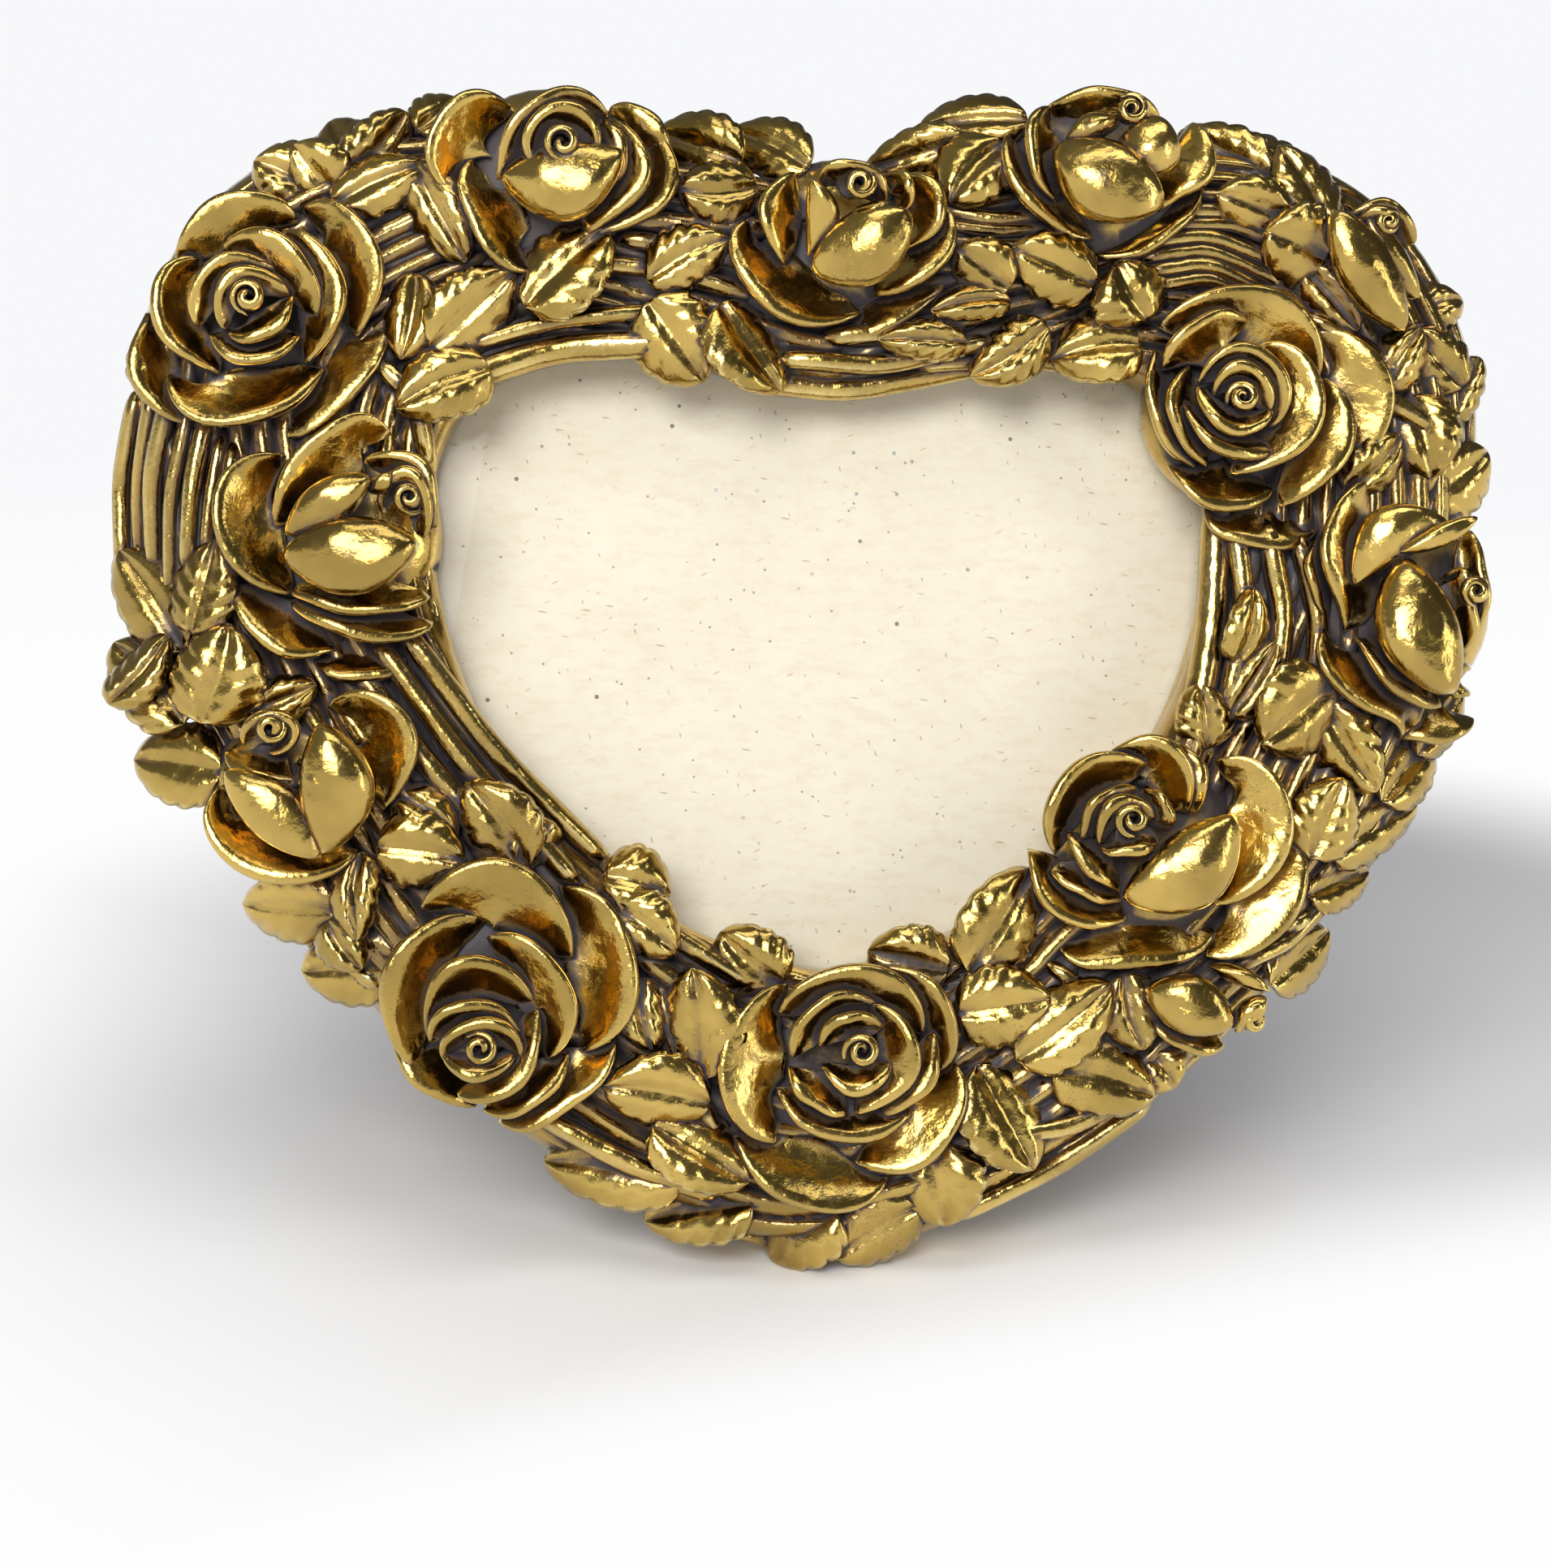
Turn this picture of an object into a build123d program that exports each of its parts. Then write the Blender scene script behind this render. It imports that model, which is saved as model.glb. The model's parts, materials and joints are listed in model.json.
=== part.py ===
from build123d import *
import math
import os

# Heart shaped photo frame: one resin casting of roses and leaves round a heart shaped opening,
# with glass, a board back and an easel strut.
# Pieces are drawn lying down: X to the right, Y up the face, Z out of the front, and Z = 0 on the
# casting's back. main() then leans the finished frame on its strut, with +Z up.

# Stance, in degrees
lean_angle = 15.0
strut_opening_angle = 28.0

# Width of the heart. Outlines and places on the face are counted in steps, this many to the width
face_width = 290.0
face_steps = 290

# Outer heart and opening heart, in steps: half width, lobe radius, side radius, height where it is
# widest, bottom round and cleft round. Both lobes fall towards the cleft at the same angle, in degrees
outer_shares = (145, 60, 188, 58, 60, 12)
opening_shares = (83, 34, 98, 35, 22, 14)
lobe_fall_angle = 10.0

# Section of the casting
ring_height = 20.0
outer_edge_round = 17.0
lip_round = 6.0
rebate_width = 7.0
foot_flat_depth = 1.2

# Glass, board and paper, stacked in the rebate
glass_thickness = 2.0
board_thickness = 3.0
cover_thickness = 0.4
stack_clearance = 0.75
cover_inset = 1.0

# Leaves: a swelling half each side of a sunk midrib
leaf_thickness = 12.0
leaf_crest = 3.0
leaf_midrib_sink = 1.4

# Roses
petal_wall = 2.4
rose_plug_depth = 16.0
rose_seat_height = 15.0

# Turn buttons and their screws
button_length = 21.0
button_width = 9.0
button_thickness = 0.8
button_overlap = 7.0
button_gap = 0.1
screw_radius = 1.3
screw_length = 9.0
screw_head_radius = 3.0
screw_head_height = 1.8
screw_slot_width = 0.8
screw_slot_depth = 0.7
running_clearance = 0.06

# Strut hinge
hinge_height = 34.0
hinge_centre = -3.5
hinge_width = 46.0
hinge_leaf_height = 17.0
hinge_leaf_thickness = 0.8
hinge_pin_radius = 0.8
hinge_knuckle_radius = 1.7
hinge_knuckle_gap = 0.2
hinge_back_gap = 0.2
knuckle_count = 5

# Staples that hold the hinge leaf, and the stay's two staples
staple_span = 8.8
staple_wire = 0.7
ribbon_staple_leg = 2.4
hinge_staple_offsets = ((-15.2, 6.7), (15.1, 6.3), (14.5, 15.2))

# Strut
strut_top_width = 46.0
strut_waist_width = 36.0
strut_foot_width = 60.0
strut_waist_height = 42.0
strut_thickness = 2.4
strut_top_gap = 1.2
strut_foot_length = 4.0
rivet_radius = 1.6
rivet_head_radius = 3.0
rivet_head_height = 0.6
rivet_spacing = 22.0
rivet_drop = 9.0

# Ribbon stay
ribbon_width = 9.0
ribbon_thickness = 0.35
ribbon_distance = 92.0
ribbon_stagger = 12.0
ribbon_tab = 9.0
ribbon_clearance = 0.3

# How far a cut runs past what it cuts, and how near two things are that touch
overrun = 5.0
touch = 0.02

# Roses: centre right, centre up, radius and height in steps, then lean, lean direction and turn in
# degrees, and the kind
rose_shares = (
    (-117, 75, 25, 17, 8, 100, 20, "open"),
    (-61, 104, 26, 19, 24, 70, 200, "cup"),
    (3, 90, 23, 17, 26, 85, 220, "cup"),
    (60, 106, 23, 17, 30, 80, 235, "cup"),
    (92, 58, 26, 17, 6, 200, 60, "open"),
    (123, 17, 24, 17, 28, 0, 150, "cup"),
    (-104, 26, 24, 17, 26, 20, 205, "cup"),
    (-109, -23, 19, 15, 22, 120, 250, "cup"),
    (-67, -67, 27, 17, 10, 230, 30, "open"),
    (3, -84, 26, 17, 8, 70, 80, "open"),
    (72, -36, 26, 17, 12, 140, 110, "open"),
)

# Petals of an open rose and of a cup rose: rim radius, rim height and foot radius as shares of the
# rose, then start and sweep as shares of a turn
open_petal_shares = (
    (1.00, 0.42, 0.62, 0.00, 0.40),
    (0.95, 0.47, 0.60, 0.36, 0.38),
    (0.98, 0.44, 0.61, 0.70, 0.34),
    (0.76, 0.70, 0.52, 0.10, 0.44),
    (0.72, 0.74, 0.49, 0.50, 0.46),
    (0.54, 0.88, 0.38, 0.28, 0.52),
    (0.50, 0.90, 0.35, 0.76, 0.56),
    (0.32, 1.00, 0.20, 0.05, 0.80),
)
cup_petal_shares = (
    (1.00, 0.30, 0.66, 0.00, 0.40),
    (0.95, 0.36, 0.64, 0.36, 0.38),
    (0.98, 0.33, 0.65, 0.70, 0.34),
    (0.74, 0.74, 0.62, 0.12, 0.42),
    (0.70, 0.80, 0.58, 0.48, 0.44),
    (0.60, 0.95, 0.52, 0.86, 0.40),
    (0.42, 0.98, 0.38, 0.30, 0.50),
    (0.26, 1.04, 0.20, 0.80, 0.80),
)
rose_heart_share = 0.46
rose_skirt_share = 0.90

# Buds: centre right, centre up, length and radius in steps, and direction in degrees
bud_shares = (
    (117, 88, 26, 10, 60),
    (78, -69, 28, 10, -8),
)
bud_rise_share = 0.2
bud_outline_shares = ((0, -0.5), (0.55, -0.5), (0.95, -0.22), (1.0, 0.0), (0.86, 0.24), (0.3, 0.5), (0, 0.5))

# Leaves: foot right, foot up, tip right, tip up, width, and rise of the crest, all in steps
leaf_shares = (
    (-102, 97, -111, 108, 12, -3.0),
    (-101, 101, -88, 116, 10, -2.0),
    (-103, 95, -84, 104, 10, 0.2),
    (-87, 104, -76, 84, 10, 1.3),
    (-83, 66, -66, 82, 12, 1.9),
    (-86, 82, -89, 64, 10, 0.6),
    (-71, 63, -90, 54, 13, 1.1),
    (-133, 5, -147, 26, 13, -5.1),
    (-131, 8, -126, 27, 11, 0.3),
    (-133, -10, -148, 7, 14, -4.6),
    (-129, -10, -123, 10, 15, 1.6),
    (-125, -20, -144, -17, 14, -3.4),
    (-102, -48, -122, -47, 12, -1.2),
    (-90, -58, -110, -61, 14, -3.4),
    (-97, -36, -98, -54, 8, 1.4),
    (-94, -35, -76, -38, 13, 2.1),
    (-90, -24, -78, -34, 9, 0.5),
    (-64, -40, -76, -22, 13, 1.7),
    (-48, -41, -34, -45, 12, 0.4),
    (-47, -47, -33, -57, 11, 1.5),
    (-11, -64, -24, -53, 13, 0.1),
    (-28, -83, -30, -60, 14, 2.3),
    (-40, -62, -38, -77, 9, 1.0),
    (-26, -88, -48, -84, 13, 2.0),
    (-38, -92, -18, -104, 13, 1.2),
    (-31, -103, -60, -101, 15, -1.6),
    (-17, -109, -39, -114, 13, -2.3),
    (0, -111, -12, -123, 14, -4.2),
    (18, -111, 1, -122, 13, -3.9),
    (21, -97, 24, -115, 16, -2.6),
    (30, -81, 42, -103, 16, -0.8),
    (25, -70, 45, -67, 14, 2.4),
    (38, -80, 58, -64, 13, 1.8),
    (46, -82, 68, -88, 14, -0.4),
    (61, -62, 65, -78, 11, 0.9),
    (67, -79, 73, -87, 10, -4.4),
    (24, -61, 7, -57, 12, 0.7),
    (28, -62, 42, -40, 14, 1.3),
    (101, -38, 108, -21, 13, 2.2),
    (107, -38, 130, -26, 11, -1.4),
    (102, -46, 119, -41, 10, -2.1),
    (94, -65, 110, -54, 12, -2.9),
    (119, -26, 133, -11, 12, -3.6),
    (106, -1, 90, -14, 17, 2.6),
    (85, 3, 89, 19, 9, 1.6),
    (79, -15, 77, -1, 11, 0.4),
    (105, 97, 97, 116, 10, -3.3),
    (97, 97, 81, 102, 10, 1.4),
    (105, 89, 91, 94, 14, 2.5),
    (95, 106, 77, 119, 11, -2.7),
    (127, 78, 139, 83, 9, -6.1),
    (137, 63, 125, 75, 10, -2.5),
    (131, 40, 143, 49, 12, -6.7),
    (124, 61, 129, 43, 13, -1.9),
    (-64, 75, -47, 91, 15, 2.7),
    (-16, 101, -33, 100, 11, 1.0),
    (-19, 107, -37, 115, 12, -2.2),
    (-5, 106, -21, 116, 11, -1.7),
    (-39, 81, -22, 90, 10, 1.7),
    (-39, 77, -27, 61, 14, 1.2),
    (-24, 77, -11, 59, 14, 0.8),
    (42, 118, 20, 118, 10, -3.5),
    (28, 113, 8, 108, 9, -2.4),
    (36, 112, 24, 99, 13, 0.5),
    (37, 81, 25, 89, 10, 1.9),
    (37, 79, 20, 76, 7, 1.5),
    (55, 82, 37, 89, 12, 2.8),
    (66, 75, 59, 87, 14, 2.2),
    (45, 74, 29, 63, 10, 1.1),
    (65, 70, 46, 67, 13, 1.8),
    (28, 70, 9, 70, 7, 0.9),
)

# Turn buttons: on the lobe's arc or the side's, and the angle there in degrees
button_angles = ((True, 62), (False, -4), (False, -46))

# Values that follow from the ones above
face_step = face_width / face_steps
rebate_depth = glass_thickness + board_thickness + cover_thickness
stack_outset = rebate_width - stack_clearance
cover_outset = stack_outset - cover_inset
button_radius = button_width / 2
pivot_outset = stack_outset + button_length - button_radius - button_overlap
hinge_depth = -(hinge_knuckle_radius + hinge_back_gap)
strut_outer_depth = hinge_depth - strut_thickness
strut_cover_depth = strut_outer_depth - cover_thickness
ribbon_stack = ribbon_clearance + ribbon_thickness
ribbon_strut_distance = ribbon_distance + ribbon_stagger
knuckle_length = (hinge_width - (knuckle_count - 1) * hinge_knuckle_gap) / knuckle_count


def heart(outline_shares, outset=0):
    """A heart of tangent arcs, moved outwards by outset."""
    half_width, lobe_radius, side_radius, height, bottom_round, cleft_round = (
        share * face_step for share in outline_shares)
    lobe = lobe_radius + outset
    side = side_radius + outset
    lobe_centre = (half_width - lobe_radius, height)
    side_centre = (half_width - side_radius, height)
    meet = math.degrees(math.acos((side_radius - half_width) / side))
    turn = 90 + lobe_fall_angle
    side_arc = CenterArc(side_centre, side, -meet, meet)
    lobe_arc = CenterArc(lobe_centre, lobe, 0, turn)
    lobe_end = lobe_arc @ 1
    cleft = (0, lobe_end.Y - lobe_end.X * math.tan(math.radians(lobe_fall_angle)))
    half = Curve() + [side_arc, lobe_arc, Line(lobe_end, cleft)]
    face = make_face(half + mirror(half, about=Plane.YZ))
    middle = [v for v in face.vertices() if abs(v.X) < touch]
    bottom = min(middle, key=lambda v: v.Y)
    face = fillet(bottom, bottom_round + outset)
    top = max((v for v in face.vertices() if abs(v.X) < touch), key=lambda v: v.Y)
    return fillet(top, cleft_round - outset)


def slab(face, low, high):
    """A flat piece of the face's outline between two heights."""
    return Pos(0, 0, low) * extrude(face, high - low)


def edges_along(part, level, face):
    """The part's edges at one height that lie on the outline of the face."""
    outline = face.wire().moved(Location((0, 0, level)))
    reach = outline.distance_to
    at_level = part.edges().filter_by_position(Axis.Z, level, level)
    return [e for e in at_level if reach(e @ 0.5) < touch]


def ring():
    """The plain heart ring with its rolled outer edge and its lip."""
    outline = heart(outer_shares)
    opening = heart(opening_shares)
    body = slab(outline - opening, 0, ring_height)
    body = fillet(edges_along(body, ring_height, outline), outer_edge_round)
    return fillet(edges_along(body, ring_height, opening), lip_round)


def leaf(length, width):
    """A pointed leaf along X from its foot, with a swelling half each side of the midrib."""
    bow = width / 2
    lens = make_face([
        ThreePointArc((0, 0), (length / 2, bow), (length, 0)),
        ThreePointArc((length, 0), (length / 2, -bow), (0, 0)),
    ])
    valley = -leaf_midrib_sink
    section = make_face([
        ThreePointArc((0, valley), (bow / 2, 0), (bow, valley)),
        Line((bow, valley), (bow, -leaf_thickness)),
        Line((bow, -leaf_thickness), (-bow, -leaf_thickness)),
        Line((-bow, -leaf_thickness), (-bow, valley)),
        ThreePointArc((-bow, valley), (-bow / 2, 0), (0, valley)),
    ])
    bar = extrude(Plane.YZ * section, length)
    return bar & slab(lens, -leaf_thickness, leaf_thickness)


def leaves():
    """Every leaf, laid on the ring between its foot and its tip."""
    placed = []
    for foot_x, foot_y, tip_x, tip_y, width, rise in leaf_shares:
        foot = Vector(foot_x, foot_y) * face_step
        tip = Vector(tip_x, tip_y) * face_step
        along = tip - foot
        turn = math.degrees(math.atan2(along.Y, along.X))
        level = ring_height + leaf_crest + rise * face_step
        placed.append(Pos(foot.X, foot.Y, level) * Rot(0, 0, turn) * leaf(along.length, width * face_step))
    return placed


def petal(radius, height, rim_share, rise_share, foot_share, start_share, sweep_share):
    """One petal: a flared wall turned part of the way round the rose."""
    rim = radius * rim_share
    foot = radius * foot_share
    top = height * rise_share
    low = -petal_wall
    section = make_face(Polyline(
        (foot, 0, low), (rim, 0, top), (rim - petal_wall, 0, top), (foot - petal_wall, 0, low), close=True))
    wall = revolve(section, Axis.Z, 360 * sweep_share)
    return Rot(0, 0, 360 * start_share) * wall


def rose(radius, height, petal_shares):
    """A rose on its own axis: overlapping petals on a domed heart, with a plug to sink in the ring."""
    skirt = radius * rose_skirt_share
    dome_height = height * rose_heart_share
    dome_radius = (skirt * skirt + dome_height * dome_height) / (2 * dome_height)
    dome = Pos(0, 0, dome_height - dome_radius) * Sphere(dome_radius)
    plug = Cylinder(skirt, rose_plug_depth + height, align=(Align.CENTER, Align.CENTER, Align.MIN))
    body = dome & (Pos(0, 0, -rose_plug_depth) * plug)
    return [body] + [petal(radius, height, *shares) for shares in petal_shares]


def roses():
    """Every rose, leaned towards its own side and sunk in the ring."""
    placed = []
    for x, y, radius, height, lean, direction, turn, kind in rose_shares:
        petal_shares = open_petal_shares if kind == "open" else cup_petal_shares
        place = Pos(x * face_step, y * face_step, rose_seat_height)
        aim = Rot(0, 0, direction) * Rot(0, lean, 0) * Rot(0, 0, turn - direction)
        pieces = rose(radius * face_step, height * face_step, petal_shares)
        placed.extend(place * aim * piece for piece in pieces)
    return placed


def bud(length, radius):
    """A closed bud standing on Z: an egg of flat flanks with a pointed tip."""
    section = Polyline([(radius * x_share, length * z_share) for x_share, z_share in bud_outline_shares],
                       close=True)
    return revolve(make_face(Plane.XZ * section), Axis.Z, 360)


def buds():
    """Every bud, lying on the ring with its tip the way it grows."""
    placed = []
    for x, y, length, radius, direction in bud_shares:
        level = ring_height + radius * bud_rise_share * face_step
        body = bud(length * face_step, radius * face_step)
        placed.append(Pos(x * face_step, y * face_step, level) * Rot(0, 0, direction) * Rot(0, 90, 0) * body)
    return placed


def button_places():
    """Centre and pointing angle of each turn button, on the arcs round the opening."""
    places = []
    half_width, lobe_radius, side_radius, height = (share * face_step for share in opening_shares[:4])
    for on_lobe, angle in button_angles:
        radius = lobe_radius if on_lobe else side_radius
        reach = radius + pivot_outset
        x = half_width - radius + reach * math.cos(math.radians(angle))
        y = height + reach * math.sin(math.radians(angle))
        places.append((x, y, angle + 180))
        places.append((-x, y, -angle))
    return places


def floor_block():
    """Everything under the floor, told in the lying frame."""
    reach = face_width + face_width
    below = Box(reach, reach, reach, align=(Align.CENTER, Align.CENTER, Align.MAX))
    return upright.inverse() * Pos(0, 0, floor_level) * below


def casting():
    """The whole casting: ring and ornament in one, with rebate, screw holes and the flat it stands on."""
    below = Box(face_width * 2, face_width * 2, face_width, align=(Align.CENTER, Align.CENTER, Align.MAX))
    body = ring().fuse(*leaves(), *roses(), *buds())
    rebate = slab(heart(opening_shares, rebate_width), -overrun, rebate_depth)
    holes = [Pos(x, y, 0) * Cylinder(screw_radius, screw_length * 2) for x, y, _ in button_places()]
    return body.cut(below, rebate, floor_block(), *holes)


def stack_piece(outset, low, thickness):
    return slab(heart(opening_shares, outset), low, low + thickness)


def staple(leg_length):
    """A flat wire staple: its crown on the plane, its legs up."""
    crown = Box(staple_span + staple_wire, staple_wire, staple_wire,
                align=(Align.CENTER, Align.CENTER, Align.MAX))
    leg = Box(staple_wire, staple_wire, leg_length, align=(Align.CENTER, Align.CENTER, Align.MIN))
    half = staple_span / 2
    return crown.fuse(Pos(-half, 0, 0) * leg, Pos(half, 0, 0) * leg)


def hinge_staples():
    """The staples over the board's hinge leaf, their legs through to the board's face."""
    leg = rebate_depth - glass_thickness + hinge_leaf_thickness
    return [Pos(hinge_centre + x, hinge_height + y, -hinge_leaf_thickness) * staple(leg)
            for x, y in hinge_staple_offsets]


def knuckles(first):
    """Every second barrel of the hinge, from the first one on."""
    pitch = knuckle_length + hinge_knuckle_gap
    start = hinge_centre - hinge_width / 2 + knuckle_length / 2
    return [Pos(start + index * pitch, hinge_height, hinge_depth) * Rot(0, 90, 0)
            * Cylinder(hinge_knuckle_radius, knuckle_length) for index in range(first, knuckle_count, 2)]


def hinge_leaf(first, direction, high):
    """A hinge leaf: its plate up or down from the barrels, cut back round the other leaf's barrels."""
    foot = hinge_height
    end = hinge_height + direction * hinge_leaf_height
    plate = Pos(hinge_centre, (foot + end) / 2, high - hinge_leaf_thickness / 2) * Box(
        hinge_width, hinge_leaf_height, hinge_leaf_thickness)
    room = hinge_knuckle_radius + hinge_knuckle_gap
    notch = Box(knuckle_length + hinge_knuckle_gap * 2, room * 2, room * 2)
    pitch = knuckle_length + hinge_knuckle_gap
    start = hinge_centre - hinge_width / 2 + knuckle_length / 2
    notches = [Pos(start + index * pitch, hinge_height, hinge_depth) * notch
               for index in range(1 - first, knuckle_count, 2)]
    bore = Pos(hinge_centre, hinge_height, hinge_depth) * Rot(0, 90, 0) * Cylinder(
        hinge_pin_radius + running_clearance, hinge_width * 2)
    return plate.cut(*notches).fuse(*knuckles(first)).cut(bore)


def strut_outline():
    """The strut lying closed: narrow under the hinge, flared to its foot."""
    top = hinge_height - hinge_knuckle_radius - strut_top_gap
    waist = hinge_height - strut_waist_height
    end = hinge_height - strut_length
    right = [(strut_top_width / 2, top), (strut_waist_width / 2, waist), (strut_foot_width / 2, end)]
    left = [(-x, y) for x, y in reversed(right)]
    return Pos(hinge_centre, 0) * make_face(Polyline(right + left, close=True))


def opened(piece):
    """A piece of the strut, turned from closed to its open stand."""
    back_to = Pos(0, hinge_height, hinge_depth)
    return back_to * Rot(strut_opening_angle, 0, 0) * back_to.inverse() * piece


def rivets():
    """Two rivets through strut leaf, strut and paper."""
    head = Cylinder(rivet_head_radius, rivet_head_height, align=(Align.CENTER, Align.CENTER, Align.MIN))
    low = strut_cover_depth
    high = hinge_depth + hinge_leaf_thickness
    shank = Cylinder(rivet_radius, high - low, align=(Align.CENTER, Align.CENTER, Align.MIN))
    one = (Pos(0, 0, low) * shank).fuse(Pos(0, 0, high) * head, Pos(0, 0, low - rivet_head_height) * head)
    return [Pos(hinge_centre + side * rivet_spacing / 2, hinge_height - rivet_drop, 0) * one
            for side in (-1, 1)]


def strut_pieces():
    """Strut leaf, strut, paper and rivets, drawn closed."""
    pins = rivets()
    outline = strut_outline()
    leaf_plate = hinge_leaf(1, -1, hinge_depth + hinge_leaf_thickness).cut(*pins)
    board = slab(outline, strut_outer_depth, hinge_depth).cut(*pins, strut_staple())
    paper = slab(outline, strut_cover_depth, strut_outer_depth).cut(*pins)
    return leaf_plate, board, paper, pins


def board_staple():
    """The staple that holds the ribbon's upper end on the board."""
    tab_middle = hinge_height - ribbon_distance + ribbon_tab / 2
    return Pos(hinge_centre, tab_middle, -ribbon_stack) * staple(ribbon_staple_leg)


def strut_staple():
    """The staple that holds the ribbon's lower end on the strut, drawn closed."""
    tab_middle = hinge_height - ribbon_strut_distance - ribbon_tab / 2
    return Pos(hinge_centre, tab_middle, hinge_depth + ribbon_stack) * Rot(180, 0, 0) * staple(ribbon_staple_leg)


def ribbon():
    """The stay: a tab on the board, a taut run, and a tab on the opened strut."""
    middle = ribbon_clearance + ribbon_thickness / 2
    start = Vector(0, hinge_height - ribbon_distance, -middle)
    turn = math.radians(strut_opening_angle)
    away = ribbon_strut_distance
    end = Vector(0, hinge_height - away * math.cos(turn) - middle * math.sin(turn),
                 hinge_depth - away * math.sin(turn) + middle * math.cos(turn))
    run = end - start
    slope = math.degrees(math.atan2(run.Z, run.Y))
    tab = Box(ribbon_width, ribbon_tab, ribbon_thickness)
    upper = Pos(hinge_centre, start.Y + ribbon_tab / 2, start.Z) * tab
    lower = opened(Pos(hinge_centre, hinge_height - away - ribbon_tab / 2, hinge_depth + middle) * tab)
    half_way = start + run * 0.5
    span = Pos(hinge_centre, half_way.Y, half_way.Z) * Rot(slope, 0, 0) * Box(
        ribbon_width, run.length + ribbon_thickness, ribbon_thickness)
    return span.fuse(upper, lower).cut(board_staple(), opened(strut_staple()))


def turn_button():
    """A turn button lying along X from its screw, drawn round its own centre."""
    plate = slab(SlotCenterToCenter(button_length - button_width, button_width).face(), 0, button_thickness)
    plate = Pos((button_length - button_width) / 2, 0, 0) * plate
    hole = Cylinder(screw_radius + running_clearance, button_thickness * 4)
    return Pos(0, 0, -button_gap - button_thickness) * (plate - hole)


def button_screw():
    """A round headed wood screw with a slot, its head over the button."""
    under_head = -(button_gap + button_thickness + button_gap)
    shank = Cylinder(screw_radius, screw_length - under_head, align=(Align.CENTER, Align.CENTER, Align.MIN))
    head = Cylinder(screw_head_radius, screw_head_height, align=(Align.CENTER, Align.CENTER, Align.MAX))
    head = fillet(head.edges().filter_by(GeomType.CIRCLE).sort_by(Axis.Z)[0], screw_head_height / 2)
    slot = Box(screw_head_radius * 2, screw_slot_width, screw_slot_depth * 2)
    body = (Pos(0, 0, under_head) * shank).fuse(Pos(0, 0, under_head) * head)
    return body - Pos(0, 0, under_head - screw_head_height) * slot


def frame_nodes():
    """Every node of the frame, lying down, by name."""
    staples = hinge_staples()
    leaf_plate, strut, strut_paper, pins = strut_pieces()
    nodes = {
        "frame_casting": casting(),
        "glass_pane": stack_piece(stack_outset, rebate_depth - glass_thickness, glass_thickness),
        "backing_board": stack_piece(stack_outset, cover_thickness, board_thickness).cut(*staples, board_staple()),
        "backing_cover": stack_piece(cover_outset, 0, cover_thickness).cut(*staples, board_staple()),
        "hinge_board_leaf": hinge_leaf(0, 1, 0).cut(*staples),
        "hinge_staples": Compound(staples),
        "hinge_pin": Pos(hinge_centre, hinge_height, hinge_depth) * Rot(0, 90, 0)
        * Cylinder(hinge_pin_radius, hinge_width),
        "hinge_strut_leaf": opened(leaf_plate),
        "easel_strut": opened(strut).cut(floor_block()),
        "strut_cover": opened(strut_paper).cut(floor_block()),
        "strut_rivets": Compound([opened(pin) for pin in pins]),
        "stay_ribbon": ribbon(),
        "ribbon_board_staple": board_staple(),
        "ribbon_strut_staple": opened(strut_staple()),
    }
    screws = []
    for number, (x, y, angle) in enumerate(button_places(), 1):
        nodes[f"turn_button_{number}"] = Pos(x, y, 0) * Rot(0, 0, angle) * turn_button()
        screws.append(Pos(x, y, 0) * Rot(0, 0, angle) * button_screw())
    nodes["turn_button_screws"] = Compound(screws)
    return nodes


upright = Location((0, 0, 0), (90 - lean_angle, 0, 0))
lowest_point = heart(outer_shares).bounding_box().min.Y * math.cos(math.radians(lean_angle))
floor_level = lowest_point + foot_flat_depth
hinge_middle = upright * Pos(hinge_centre, hinge_height, hinge_depth)
strut_slope = math.radians(strut_opening_angle - lean_angle)
strut_reach = (hinge_middle.position.Z - floor_level) / math.cos(strut_slope)
strut_length = strut_reach + strut_foot_length


def main():
    """Lean the frame, set its middle over the origin and write each node."""
    os.makedirs("parts", exist_ok=True)
    standing = {name: upright * shape for name, shape in frame_nodes().items()}
    box = Compound(list(standing.values())).bounding_box()
    to_origin = Pos(-box.center().X, -box.center().Y, -floor_level)
    for name, shape in standing.items():
        placed = to_origin * shape
        placed.label = name
        export_step(placed, f"parts/{name}.step")
    print("hinge", to_origin * hinge_middle)
    print("foot", to_origin * upright * Pos(0, lowest_point / math.cos(math.radians(lean_angle)), 0))
    for x, y, angle in button_places():
        print("button", to_origin * upright * Pos(x, y, -button_gap) * Rot(0, 0, angle))


main()
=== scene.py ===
import json
import math

import bmesh
import bpy
import numpy as np
from mathutils import Matrix, Vector
from mathutils.bvhtree import BVHTree


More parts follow.
